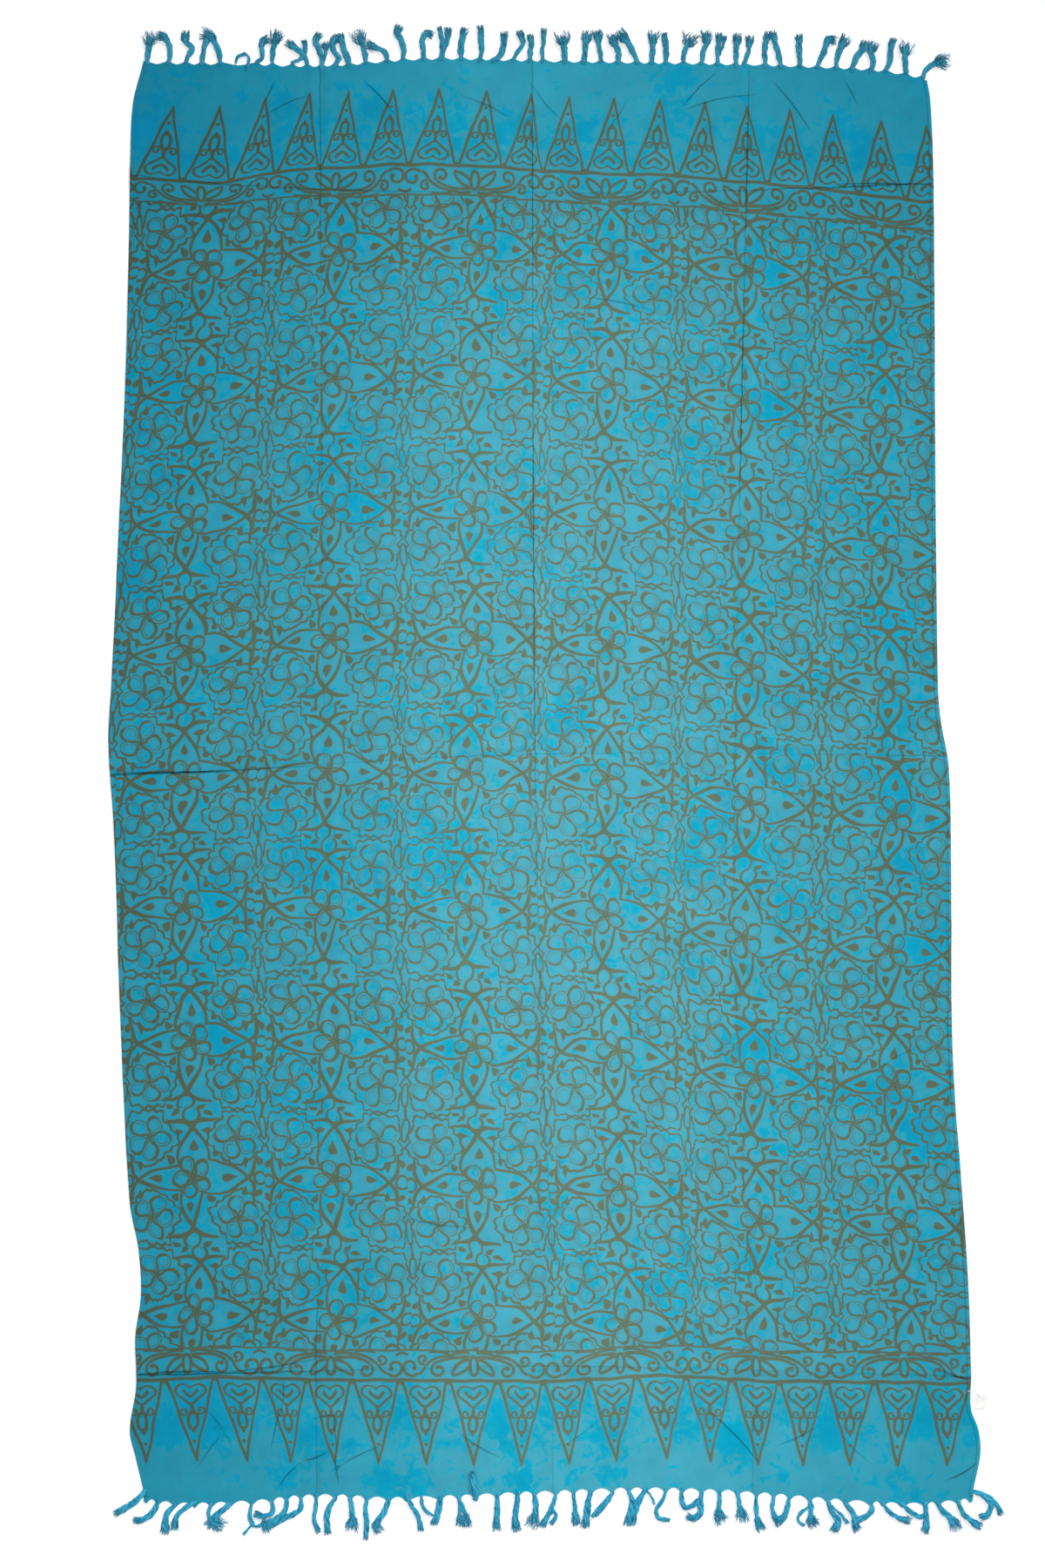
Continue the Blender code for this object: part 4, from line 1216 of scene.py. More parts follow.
# %% Hem stitches
STITCH_SPACING = 4.6
STITCH_RADIUS = 0.18
STITCH_REACH = 1.7
STITCH_SLANT = 0.6  # radians
STITCH_ARCH = 0.35  # height of a stitch as a share of its reach
STITCH_LOOSENESS = 0.22  # radians that one may turn from its slant
STITCHES_SHORT = 6  # how far the stitches stop short of the cloth's ends
STITCH_LINE_STEP = 8
STITCH_LINE = (0.9, 0.93)  # how far inward of the roll's middle it runs, and its share of the roll's height


def stitch_line(name, side, inward):
    """The line along the top of a roll that the stitches sit on."""
    low = float(smooth_value(BOTTOM_END, side[0][1])) + STITCHES_SHORT
    high = float(smooth_value(TOP_END, side[-1][1])) - STITCHES_SHORT
    y = np.linspace(low, high, int((high - low) / STITCH_LINE_STEP))
    x = smooth_value(side, y) + inward * (HEM_WIDTH / 2 + STITCH_LINE[0])
    z = rest_height(x, y) - FLAT_TOP + HEM_HEIGHT * STITCH_LINE[1]
    points = [Vector(spot) * MM for spot in zip(x, y, z)]
    mesh = bpy.data.meshes.new(name)
    mesh.from_pydata(points, [(k, k + 1) for k in range(len(points) - 1)], [])
    return new_object(name, mesh)


def stitch_tree():
    """Sets one slanting stitch at every step along a line."""
    inputs = (
        ("Spacing", "Float"), ("Reach", "Float"), ("Thread Radius", "Float"), ("Slant", "Float"),
        ("Seed", "Int"), ("Thread", "Material"),
    )
    tree, given = new_tree("whipped stitches", inputs)
    size = given.outputs
    line = add(tree, "GeometryNodeMeshToCurve", size["Geometry"])
    spots = add(tree, "GeometryNodeCurveToPoints", line, None, size["Spacing"], mode="LENGTH")
    back = add(tree, TIMES, size["Reach"], -1.0)
    start = add(tree, COMBINE, back, 0.0, 0.0)
    high = add(tree, TIMES, size["Reach"], STITCH_ARCH)
    middle = add(tree, COMBINE, 0.0, 0.0, high)
    end = add(tree, COMBINE, size["Reach"], 0.0, 0.0)
    stitch = add(tree, "GeometryNodeCurveQuadraticBezier", 5, start, middle, end)
    section = add(tree, "GeometryNodeCurvePrimitiveCircle", 4, named={"Radius": 1.0})
    thread = add(tree, "GeometryNodeCurveToMesh", stitch, section, size["Thread Radius"], True)
    loose = scattered(tree, -STITCH_LOOSENESS, STITCH_LOOSENESS, size["Seed"], None)
    turn = add(tree, PLUS, loose, size["Slant"])
    turned = add(tree, COMBINE, 0.0, 0.0, turn)
    placed = add(tree, "GeometryNodeInstanceOnPoints", spots, None, thread, None, None, turned)
    real = add(tree, "GeometryNodeRealizeInstances", placed)
    smooth = add(tree, "GeometryNodeSetShadeSmooth", real)
    finished = add(tree, "GeometryNodeSetMaterial", smooth, None, size["Thread"])
    add(tree, "NodeGroupOutput", finished)
    return tree


whipping = stitch_tree()
STITCH = {
    "spacing": STITCH_SPACING * MM,
    "reach": STITCH_REACH * MM,
    "thread_radius": STITCH_RADIUS * MM,
    "thread": dyed_yarn,
}
stitches_left = stitch_line("hem_stitches_left", LEFT_SIDE, 1)
stitches_left = run_tree(stitches_left, whipping, **STITCH, slant=STITCH_SLANT, seed=3)
stitches_right = stitch_line("hem_stitches_right", RIGHT_SIDE, -1)
stitches_right = run_tree(stitches_right, whipping, **STITCH, slant=-STITCH_SLANT, seed=4)
print("stitches:", len(stitches_left.data.polygons), "and", len(stitches_right.data.polygons), "faces")

# %% [markdown]
# ## Care label
#
# A folded bit of white satin ribbon hangs by a short loop of thread from the right hem and has curled a
# little. A small grid bent along its length gives the curl, and Solidify gives the ribbon its two layers.

# %% Satin label on its thread
LABEL_SIZE = (12.5, 18.5)
LABEL_MIDDLE = (537.4, -780.2)
LABEL_CURL = 1.6
LABEL_GRID = (9, 13)
LABEL_THICKNESS = 0.7
LABEL_SKEW = 0.5  # how far it leans, from end to end and from side to side
LABEL_TAPER = 0.05  # how much narrower it is at its upper end, as a share
LABEL_CURVES = (1.6, 0.8, 0.4)  # steepness of the lower end's curl, height and evenness of the sides'
LABEL_CLEAR = 0.2  # how far it lies off the floor
LABEL_EDGE = 0.15


def label_points():
    """Grid points of the ribbon, low in the middle and curled up at its lower end and its outer side."""
    columns, rows = LABEL_GRID
    steep, tall, even = LABEL_CURVES
    points = []
    for row in range(rows):
        for column in range(columns):
            u, v = column / (columns - 1) - 0.5, row / (rows - 1) - 0.5
            x = LABEL_MIDDLE[0] + LABEL_SIZE[0] * u * (1 - LABEL_TAPER * v) + LABEL_SKEW * v
            y = LABEL_MIDDLE[1] + LABEL_SIZE[1] * v + LABEL_SKEW * u
            curl_end = LABEL_CURL * (max(-v, 0) * steep) ** 2
            z = LABEL_THICKNESS + LABEL_CLEAR + curl_end + tall * (2 * u) ** 2 * (even + u)
            points.append(Vector((x, y, max(z, LABEL_THICKNESS))) * MM)
    return points


across, along = LABEL_GRID
first = [row * across + column for row in range(along - 1) for column in range(across - 1)]
label = new_piece("satin_label", label_points(), [(k, k + 1, k + across + 1, k + across) for k in first])
ribbon = label.modifiers.new("two layers", "SOLIDIFY")
ribbon.thickness = LABEL_THICKNESS * MM
ribbon.offset = -1
edge = label.modifiers.new("soft edge", "BEVEL")
edge.width = LABEL_EDGE * MM
edge.segments = 2
label = settle(label)
print("label:", len(label.data.polygons), "faces")

# %% Label thread
THREAD_ROUTE = (
    (520.5, -767.5, 2.6), (524, -767.2, 3.2), (528.5, -768.3, 1.8), (533, -770.2, 2.0), (536.8, -772.6, 2.2),
    (536.2, -774.6, 1.7),
)
THREAD_RADIUS = 0.35

thread_data = bpy.data.curves.new("label_thread", "CURVE")
thread_data.dimensions = "3D"
thread_data.bevel_depth = THREAD_RADIUS * MM
thread_data.bevel_resolution = 2
thread_data.use_fill_caps = True
strand = thread_data.splines.new("NURBS")
strand.points.add(len(THREAD_ROUTE) - 1)
for point, spot in zip(strand.points, THREAD_ROUTE):
    point.co = (*(Vector(spot) * MM), 1)
strand.use_endpoint_u = True
label_thread = settle(new_object("label_thread", thread_data))
print("thread:", len(label_thread.data.polygons), "faces")

# %% White satin
# Satin ribbon: long floats of bright yarn give it more shine than the cloth
RIBS_PER_METRE = 1600.0
SATIN_WHITES = ("#E4E3E0", "#F6F6F4")
white_satin, tree = new_material("white label satin")
place = add(tree, "ShaderNodeTexCoord").outputs["Object"]
ribs = add(tree, "ShaderNodeTexWave", place, RIBS_PER_METRE, 1.5, 1.0, bands_direction="Y")
soil = add(tree, NOISE, place, named={"Scale": 160.0, "Detail": 3.0})
colour = add(tree, MIX, soil, *map(linear, SATIN_WHITES), data_type="RGBA")
relief = add(tree, BUMP, named={"Strength": 0.3, "Distance": 0.0001, "Height": ribs})
shader = add(tree, "ShaderNodeBsdfPrincipled", colour, named={"Roughness": 0.5, "IOR": 1.5, "Normal": relief})
add(tree, "ShaderNodeOutputMaterial", shader)
for piece in (label, label_thread):
    piece.data.materials.append(white_satin)
print("satin material:", len(tree.nodes), "nodes")

# %% [markdown]
# ## The stamped pattern
#
# The print is two ornaments found on many batiks of the coast: a floral repeat with pointed leaves crossing
# at a small flower, and at each end a band of scrolls with a row of tall pointed triangles, the tumpal.
# Stamps with wax or paste leave lines of even width with soft, slightly ragged edges. The chart below was
# drawn from simple shapes, each one a distance: how far a place lies outside the nearest printed
# line. Distances are joined by taking the smaller, and one threshold at the end turns them to dye, so every
# line gets the same kind of edge. An image texture would be quicker, but it has one resolution and can't be
# changed by a number.

# %% Shapes as distances
SOFT_JOIN = 1.0  # print units over which two lines melt together where they meet
DROP_FULLNESS = 0.77  # makes the formula of a drop as wide as it is asked to be
DROP_SLOPE = 0.55  # turns its value to about a distance


def within(tree, value, near, far, low=1.0, high=0.0):
    """A smooth share that goes from low at near to high at far."""
    return add(tree, RANGE, value, near, far, low, high, interpolation_type="SMOOTHSTEP")


def line_of(tree, distance, half_width):
    """Distance outside a line drawn along the edge of a shape."""
    off_edge = add(tree, SIZE, distance)
    return add(tree, MINUS, off_edge, half_width)


def joined(tree, shapes):
    """Distance outside several shapes drawn together."""
    total = shapes[0]
    for shape in shapes[1:]:
        total = add(tree, SOFT_LEAST, total, shape, SOFT_JOIN)
    return total


def only_where(tree, shape, outside):
    """A shape cut off where another distance is above 0."""
    return add(tree, MOST, shape, outside)


def disc(tree, place, centre, radius):
    """Distance outside a filled circle."""
    gap = add(tree, V_APART, place, (*centre, 0))
    return add(tree, MINUS, gap, radius)


def oval(tree, place, centre, turn, length, width):
    """Distance outside a filled oval whose length lies along its turn."""
    size = (length / 2, width / 2, 1)
    own = add(tree, MAPPING, place, (*centre, 0), (0, 0, math.radians(turn)), size, vector_type="TEXTURE")
    reach = add(tree, V_LENGTH, own)
    squeezed = add(tree, V_TIMES, own, (2 / length, 2 / width, 0))
    slope = add(tree, V_LENGTH, squeezed)
    past = add(tree, MINUS, reach, 1.0)
    grown = add(tree, TIMES, past, reach)
    return add(tree, OVER, grown, slope)


def drop(tree, place, centre, turn, length, width):
    """Distance outside a filled drop whose point lies at its turn."""
    size = (length / 2, DROP_FULLNESS * width / 2, 1)
    own = add(tree, MAPPING, place, (*centre, 0), (0, 0, math.radians(turn)), size, vector_type="TEXTURE")
    x, y, _ = add(tree, SEPARATE, own).outputs
    from_point = add(tree, MINUS, 1.0, x)
    kept = add(tree, MOST, from_point, 0.02)
    swollen = add(tree, OVER, y, kept)
    bent = add(tree, COMBINE, x, swollen, 0.0)
    reach = add(tree, V_LENGTH, bent)
    past = add(tree, MINUS, reach, 1.0)
    return add(tree, TIMES, past, width * DROP_SLOPE)


def chart_curve(tree, value, points):
    """A smooth curve of a value through the points of a chart, which may lie anywhere."""
    places, heights = zip(*points)
    low, high = min(heights), max(heights)
    share = add(tree, RANGE, value, places[0], places[-1], 0.0, 1.0)
    scaled = [((p - places[0]) / (places[-1] - places[0]), (h - low) / (high - low)) for p, h in points]
    curve = curve_points(add(tree, "ShaderNodeFloatCurve", 1.0, share), scaled)
    return add(tree, TIMES_PLUS, curve, high - low, low)


print("shapes: line, disc, oval and drop")

# %% Flowers of five petals
PETALS = 5


def petal_place(tree, place, centre, first_angle):
    """A place in one petal, with the distance across it and the distance from the flower's centre."""
    centre = centre if isinstance(centre, bpy.types.Node) else (*centre, 0)
    own = add(tree, V_MINUS, place, centre)
    x, y, _ = add(tree, SEPARATE, own).outputs
    reach = add(tree, V_LENGTH, own)
    angle = add(tree, BEARING, y, x)
    turned = add(tree, MINUS, angle, first_angle)
    half = math.pi / PETALS
    folded = add(tree, WRAPPED, turned, half, -half)
    ahead = add(tree, TIMES, add(tree, COSINE, folded), reach)
    aside = add(tree, TIMES, add(tree, SINE, folded), reach)
    return add(tree, COMBINE, ahead, aside, 0.0), aside, reach


PETAL_NECK = math.radians(15)  # half the angle of a petal's narrow part
NECK_JOIN = 4.0  # print units over which the neck swells into the round part
HEAVY_FROM, HEAVY_TO = -2.5, 4.0  # across a petal, where its outline grows from thin to heavy
INNER_LINE = (2.9, 0.25)  # how far inside the outline the fine line runs, and its half width
INNER_SIDE = 1.5  # how far past a petal's middle the fine line reaches


def flower(tree, place, centre, first_angle, reach, radius, thin, heavy):
    """Distances outside five petals, outside their outlines, which are heavier on one side, and outside a
    fine line in each. The petals are round at the tip and narrow at the middle."""
    spot, aside, _ = petal_place(tree, place, centre, first_angle)
    ahead = add(tree, SEPARATE, spot).outputs["X"]
    bulb = disc(tree, spot, (reach, 0), radius)
    beside = add(tree, TIMES, add(tree, SIZE, aside), math.cos(PETAL_NECK))
    neck = add(tree, TIMES_PLUS, ahead, -math.sin(PETAL_NECK), beside)
    past_bulb = add(tree, PLUS, ahead, -reach)
    petal = add(tree, SOFT_LEAST, bulb, only_where(tree, neck, past_bulb), NECK_JOIN)
    weight = within(tree, aside, HEAVY_FROM, HEAVY_TO, thin / 2, heavy / 2)
    outline = line_of(tree, petal, weight)
    inner = line_of(tree, add(tree, PLUS, petal, INNER_LINE[0]), INNER_LINE[1])
    light_side = add(tree, PLUS, aside, INNER_SIDE)
    return petal, outline, only_where(tree, inner, light_side)


print("petals in a flower:", PETALS)


# %% Curls and bowed lines
def bowed(tree, place, start, end, rise, half_width):
    """Distance outside a line from one point to another that bows to its left by rise."""
    length, turn = math.dist(start, end), math.atan2(end[1] - start[1], end[0] - start[0])
    own = add(tree, MAPPING, place, (*start, 0), (0, 0, turn), (length, 1, 1), vector_type="TEXTURE")
    x, y, _ = add(tree, SEPARATE, own).outputs
    from_middle = add(tree, MINUS, x, 0.5)
    square = add(tree, TIMES, from_middle, from_middle)
    bend = add(tree, TIMES_PLUS, square, -4 * rise, rise)
    line = line_of(tree, add(tree, MINUS, y, bend), half_width)
    off_middle = add(tree, SIZE, from_middle)
    past_end = add(tree, TIMES_PLUS, off_middle, length, -length / 2)
    return only_where(tree, line, past_end)


CURL_INNER = 0.42  # radius at the inner end of a curl, as a share of its outer radius
BLOB_TURN = 25  # degrees before a curl's inner end where its blob lies
BLOB_SIZE = 1.6  # radius of the blob, in half widths of the line


def curl(tree, place, centre, radius, start, hand, half_width):
    """Distance outside one turn of a spiral that starts at an angle and ends in a small blob. hand is 1 for
    anticlockwise and -1 for clockwise."""
    own = add(tree, V_MINUS, place, (*centre, 0))
    x, y, _ = add(tree, SEPARATE, own).outputs
    angle = add(tree, BEARING, y, x)
    turns = add(tree, TIMES_PLUS, angle, hand / math.tau, -hand * start / 360)
    share = add(tree, FRACTION, turns)
    edge = add(tree, TIMES_PLUS, share, radius * (CURL_INNER - 1), radius)
    reach = add(tree, V_LENGTH, own)
    line = line_of(tree, add(tree, MINUS, reach, edge), half_width)
    tail = math.radians(start - BLOB_TURN * hand)
    blob = (
        centre[0] + math.cos(tail) * radius * CURL_INNER, centre[1] + math.sin(tail) * radius * CURL_INNER
    )
    return joined(tree, [line, disc(tree, place, blob, half_width * BLOB_SIZE)])


print("lines: bowed ones and curls that narrow to", CURL_INNER, "of their radius")


# %% Floral repeat
STAMP_SLIP = (1.2, 1.2)  # how far one stamp may be out of place, in print units
ARM_REACH = (62.0, 7.0)  # from the middle to where a leaf's sides cross, and how much less it is up and down
LEAF_WIDTHS = (12.5, 5.5)  # half width of the leaves to the left and below, and how much more the others have
SHEAR = (-0.11, -0.035)  # how far the lower leaf leans, and how far the left one does
LEAF_SHAPE = ((0, 0.86), (0.18, 0.96), (0.36, 1), (0.55, 0.92), (0.72, 0.68), (0.87, 0.34), (1, 0))
LEAF_LINES = (1.15, 2.25)  # half width of a leaf's sides, by the flower and at the tip
HEAVY_UPRIGHTS = 0.3  # how much heavier the leaves above and below are drawn
HORN_SHAPE = ((0, 0), (4, 4.2), (8, 7), (13, 8.2), (20, 8.6), (30, 9.6))
HORN_END = 29.0
CORNER_FLOWER = (49.5, 44.5)
FRAME_SHAPE = (
    # angle round a corner flower from the outward side, distance to its frame
    (-180, 32.5), (-173, 33), (-158, 29), (-143, 27.5), (-129, 27), (-112, 28.5), (-100, 29), (-88, 31.5),
    (-72, 28.5), (-56, 29), (-42, 27.5), (-27, 30.5), (-12, 28.5), (0, 25.5), (9, 26), (20, 28), (30, 27),
    (39, 29), (51, 33.5), (60, 30), (74, 29.5), (95, 29), (108, 29), (117, 32), (126, 28.5), (135, 27),
    (148, 27.5), (162, 28), (172, 31.5), (180, 32.5),
)
FRAME_LINE = 1.3
FRAME_SCALLOPS = 16
SCALLOP_SWELL = 2.6


def floral_repeat(tree, place):
    """Distance outside the printed lines of the floral repeat, at a place in the body's print."""
    tile = (TILE[0] / 2, TILE[1] / 2, 1)
    shares = add(tree, V_TIMES_PLUS, place, (1 / TILE[0], 1 / TILE[1], 0), (0.5, 0.5, 0))
    stamp = add(tree, V_FLOOR, shares)
    slip = add(tree, "ShaderNodeTexWhiteNoise", stamp, noise_dimensions="2D")
    slipped = add(tree, V_PLUS, slip.outputs["Color"], (-0.5, -0.5, -0.5))
    wrapped = add(tree, V_WRAPPED, place, tile, tuple(-side for side in tile))
    own = add(tree, V_TIMES_PLUS, slipped, (*STAMP_SLIP, 0), wrapped)
    own_x, own_y, _ = add(tree, SEPARATE, own).outputs
    low = add(tree, LEAST, own_y, 0.0)
    x = add(tree, TIMES_PLUS, low, SHEAR[0], own_x)
    left = add(tree, LEAST, own_x, 0.0)
    y = add(tree, TIMES_PLUS, left, SHEAR[1], own_y)
    off_x, off_y = (add(tree, SIZE, value) for value in (x, y))

    # One leaf stands for all four: along it, and across it
    upright = add(tree, ABOVE, off_y, off_x)
    along = add(tree, MOST, off_x, off_y)
    across = add(tree, LEAST, off_x, off_y)
    reach = add(tree, TIMES_PLUS, upright, -ARM_REACH[1], ARM_REACH[0])
    past = add(tree, MINUS, along, reach)
    toward = add(tree, MIX, upright, x, y, data_type="FLOAT")
    is_wide = add(tree, ABOVE, toward, 0.0)
    width = add(tree, TIMES_PLUS, is_wide, LEAF_WIDTHS[1], LEAF_WIDTHS[0])
    share = add(tree, OVER, along, reach)
    bulge = chart_curve(tree, share, LEAF_SHAPE)
    side = add(tree, TIMES, bulge, width)
    leaf_line = within(tree, share, 0.35, 1.0, *LEAF_LINES)
    leaf_line = add(tree, TIMES_PLUS, upright, HEAVY_UPRIGHTS, leaf_line)
    leaf = line_of(tree, add(tree, MINUS, across, side), leaf_line)
    petals, *centre_lines = flower(tree, own, (-0.8, 0), math.radians(41), 14.0, 7.6, 1.6, 3.4)
    leaf = only_where(tree, only_where(tree, leaf, past), add(tree, TIMES, petals, -1.0))
    horn_edge = add(tree, MINUS, past, chart_curve(tree, across, HORN_SHAPE))
    horn_width = add(tree, RANGE, across, 0.0, HORN_END, 2.9, 1.0)
    past_horn = add(tree, MINUS, across, HORN_END)
    horn = only_where(tree, line_of(tree, horn_edge, horn_width), past_horn)
    leaf_place = add(tree, COMBINE, past, across, 0.0)
    shapes = [leaf, horn, *centre_lines]
    shapes.append(drop(tree, leaf_place, (-19.5, 0), 0, 15.5, 8.2))
    not_below = add(tree, MINUS, -40.0, y)
    horn_drop = drop(tree, leaf_place, (-2.5, 14.5), -90, 12.5, 6.4)
    shapes.append(only_where(tree, horn_drop, not_below))
    outer = add(tree, COMBINE, add(tree, TIMES_PLUS, upright, -4.0, past), across, 0.0)
    shapes.append(drop(tree, outer, (12.5, 18.5), 125, 11.5, 6.6))
    ring_place = add(tree, TIMES_PLUS, upright, -0.5, 13.5)
    ring_size = add(tree, TIMES_PLUS, upright, 2.2, 6.2)
    ring_gap = add(tree, V_APART, leaf_place, add(tree, COMBINE, ring_place, 0.0, 0.0))
    shapes.append(line_of(tree, add(tree, MINUS, ring_gap, ring_size), 1.3))

    # Marks between the leaves, and the small flower on the crossing
    shapes += [
        drop(tree, own, (-26.5, 20), 128, 12.5, 8),
        drop(tree, own, (-21, -20.5), 60, 12.5, 9),
        drop(tree, own, (18.5, -23), 135, 12, 8),
        disc(tree, own, (25.5, 25), 3.0),
        disc(tree, own, (-0.8, 0), 4.0),
        bowed(tree, own, (-17.5, 18.5), (-15.5, 10.5), 0, 1.4),
        bowed(tree, own, (18.5, -18), (9.5, -14.5), 0, 1.3),
    ]

    # Corner flowers: one stands for all four, by the signs of x and y
    signs = add(tree, V_SIGN, own)
    middle = add(tree, V_TIMES, signs, (*CORNER_FLOWER, 0))
    sign_x = add(tree, SEPARATE, signs).outputs["X"]
    turn = add(tree, TIMES_PLUS, sign_x, math.radians(18), math.radians(81))
    shapes += flower(tree, own, middle, turn, 15.0, 8.7, 0.95, 3.3)[1:]
    middle_gap = add(tree, V_APART, own, middle)
    shapes.append(add(tree, MINUS, middle_gap, 1.4))

    # Their wavy frames, mirrored into one corner
    outward = add(tree, V_SIZE, own)
    from_flower = add(tree, V_MINUS, outward, (*CORNER_FLOWER, 0))
    beside, above, _ = add(tree, SEPARATE, from_flower).outputs
    bearing = add(tree, BEARING, above, beside)
    degrees = add(tree, DEGREES, bearing)
    frame_reach = add(tree, V_LENGTH, from_flower)
    frame_radius = chart_curve(tree, degrees, FRAME_SHAPE)
    scallop_turn = add(tree, TIMES, bearing, FRAME_SCALLOPS / 2)
    scallop = add(tree, SIZE, add(tree, SINE, scallop_turn))
    scalloped = add(tree, TIMES_PLUS, scallop, SCALLOP_SWELL, add(tree, MINUS, frame_radius, 1.5))
    frame_edge = add(tree, MINUS, frame_reach, scalloped)
    shapes.append(line_of(tree, frame_edge, FRAME_LINE))

    # Stems and slim loops in the gaps between neighbouring stamps
    shapes.append(line_of(tree, oval(tree, outward, (79.5, 56.0), 92, 23, 6.4), 1.2))
    shapes.append(bowed(tree, outward, (80, 66), (80, 75), 0, 1.8))
    return joined(tree, shapes)


print("floral repeat:", TILE[0], "by", TILE[1], "print units")

# %% Row of triangles
TRIANGLE_HALF = 25.5
TRIANGLE_LINE = 1.6
HEART_SHAPE = (
    # angle from the point of the heart, distance to its outline
    (0, 15.6), (20, 12.4), (39, 11.3), (60, 12.0), (74, 13.8), (88, 16.2), (100, 16.8), (120, 15.6),
    (138, 13.1), (155, 9.0), (170, 6.5), (180, 5.8),
)
HEART_HEIGHT = 18.0


def triangle_row(tree, across, up):
    """Distance outside the printed lines of the tall triangles and what stands in them."""
    half = TRIANGLE_PITCH / 2
    x = add(tree, WRAPPED, across, half, -half)
    off = add(tree, SIZE, x)
    slope = TRIANGLE_HALF / TRIANGLE_STAMP_HEIGHT
    leaning = add(tree, TIMES_PLUS, up, slope, off)
    outside = add(tree, MINUS, leaning, TRIANGLE_HALF)
    heavy = add(tree, RANGE, x, -4.0, 4.0, TRIANGLE_LINE + 0.2, TRIANGLE_LINE - 0.1)
    sides = line_of(tree, outside, heavy)
    place = add(tree, COMBINE, up, off, 0.0)
    above = add(tree, PLUS, up, -TRIANGLE_STAMP_HEIGHT - 3)
    shapes = [only_where(tree, sides, above)]

    # Dark webs where two triangles meet at the base
    web_top = add(tree, MINUS, up, 6.0)
    shapes.append(only_where(tree, web_top, add(tree, TIMES, outside, -1.0)))

    # Heart inside heart, seen round its own middle
    from_heart = add(tree, V_MINUS, place, (HEART_HEIGHT, 0, 0))
    ahead, aside, _ = add(tree, SEPARATE, from_heart).outputs
    bearing = add(tree, BEARING, aside, ahead)
    degrees = add(tree, DEGREES, bearing)
    radius = chart_curve(tree, degrees, HEART_SHAPE)
    reach = add(tree, V_LENGTH, from_heart)
    shapes.append(line_of(tree, add(tree, MINUS, reach, radius), 1.6))
    shapes.append(bowed(tree, place, (23.5, -1.0), (14.5, 8.5), -1.0, 1.85))

    # Two curls, a bud and a dot, up to the point of the triangle
    shapes += [
        oval(tree, place, (38, 0), 0, 15, 4.4),
        curl(tree, place, (40.5, 8.6), 4.8, -50, 1, 1.15),
        bowed(tree, place, (46.5, 2.4), (43.8, 6.2), 0.4, 1.5),
        line_of(tree, oval(tree, place, (52, 0), 0, 20, 9.6), 1.85),
        oval(tree, place, (63.0, 0), 0, 8, 4.5),
        disc(tree, place, (77.0, 0), 2.1),
    ]
    below = add(tree, MINUS, -1.0, up)
    base = line_of(tree, add(tree, PLUS, up, -1.4), 2.1)
    return joined(tree, [only_where(tree, joined(tree, shapes), below), base])


print("triangles:", TRIANGLE_PITCH, "print units apart")

# %% Band of scrolls
BAND_DEPTH = 33.0


def scroll_band(tree, along, up):
    """Distance outside the printed lines of the scrolls, mirrored about each palmette."""
    half = TILE[0] / 2
    wrapped = add(tree, WRAPPED, along, half, -half)
    off = add(tree, SIZE, wrapped)
    down = add(tree, TIMES, up, -1.0)
    place = add(tree, COMBINE, off, down, 0.0)
    shapes = [
        line_of(tree, oval(tree, place, (0, 15.5), 90, 21, 9.0), 1.9),
        bowed(tree, place, (5, 23.5), (24, 6.5), 4.4, 1.85),
        bowed(tree, place, (4, 17), (24, 5.0), -1.8, 1.8),
        oval(tree, place, (11, 26), 0, 15, 4.2),
        bowed(tree, place, (4, 30), (25, 28.5), 1.6, 1.7),
        bowed(tree, place, (6, 25), (44, 17), 4.2, 1.7),
        curl(tree, place, (38.5, 10.5), 8.0, 47, -1, 1.6),
        bowed(tree, place, (24, 28.5), (53, 14.5), 3.6, 1.7),
        bowed(tree, place, (53, 14.5), (61.5, 6.0), -1.2, 1.7),
        curl(tree, place, (71, 12.8), 10.2, 215, 1, 1.7),
        curl(tree, place, (56.5, 22.2), 6.0, 245, 1, 1.5),
        bowed(tree, place, (27, 31), (50, 30.5), 0.8, 1.2),
        bowed(tree, place, (73, 26.5), (88, 29), 2.2, 1.6),
    ]
    below = add(tree, MINUS, -BAND_DEPTH - 1, up)
    from_line = add(tree, PLUS, up, BAND_DEPTH)
    line = line_of(tree, from_line, 1.15)
    inside = only_where(tree, joined(tree, shapes), up)
    return joined(tree, [only_where(tree, inside, below), line])


print("scroll band:", BAND_DEPTH, "print units deep")

# %% Dyed and printed rayon
# Soft plain-woven rayon: matt with a faint sheen. The dye went on by hand over a resist, so the blue lies in
# patches with sharp and soft edges, and the printed lines keep a pale rim where the resist stood.
GROUND = ("#44A4BA", "#4E9EAE")  # bare dye, and its paler rim beside a printed line
PATCHES = ("#1BA6C0", "#00A0C2")  # where more dye went on, and where the most did
STROKES = ("#5E6F59", "#6A745A")  # full ink, and ink that took less well
STROKE_EDGE = 0.55  # print units over which a line's edge fades
WANDER_SCALE = 0.032  # noise cells in a print unit
BODY_WANDER, BORDER_WANDER = 7.0, 3.6  # print units that the lines drift, from one extreme to the other
RAGGED_SCALE = 0.42  # noise cells in a print unit
RAGGED_EDGE = 1.1  # print units that a line's edge strays, from one extreme to the other
HARD_PRESSED = 0.1  # print units wider where the block pressed hardest
ALWAYS_PRESSED = 0.03
INK_COVER = (0.92, 0.98)  # share of the dye that thin and heavy ink hides
RIM_REACH = (1.2, 4.2)  # print units from a line's edge to where its rim starts to fade and where it ends
RIM_SHOWN = 0.75
# Painted shade of the light's falloff: less than 1 is darker, at shares of the width and at metres up
FALLOFF_SHADE_SIDES = ((0.0, 0.65), (0.12, 0.73), (0.3, 0.86), (0.45, 1.0), (0.6, 1.0), (0.8, 0.9), (1.0, 0.78))
FALLOFF_SHADE_ENDS = ((-0.9, 0.96), (-0.7, 1.0), (0.35, 1.0), (0.62, 0.93), (0.77, 0.8), (0.91, 0.74))
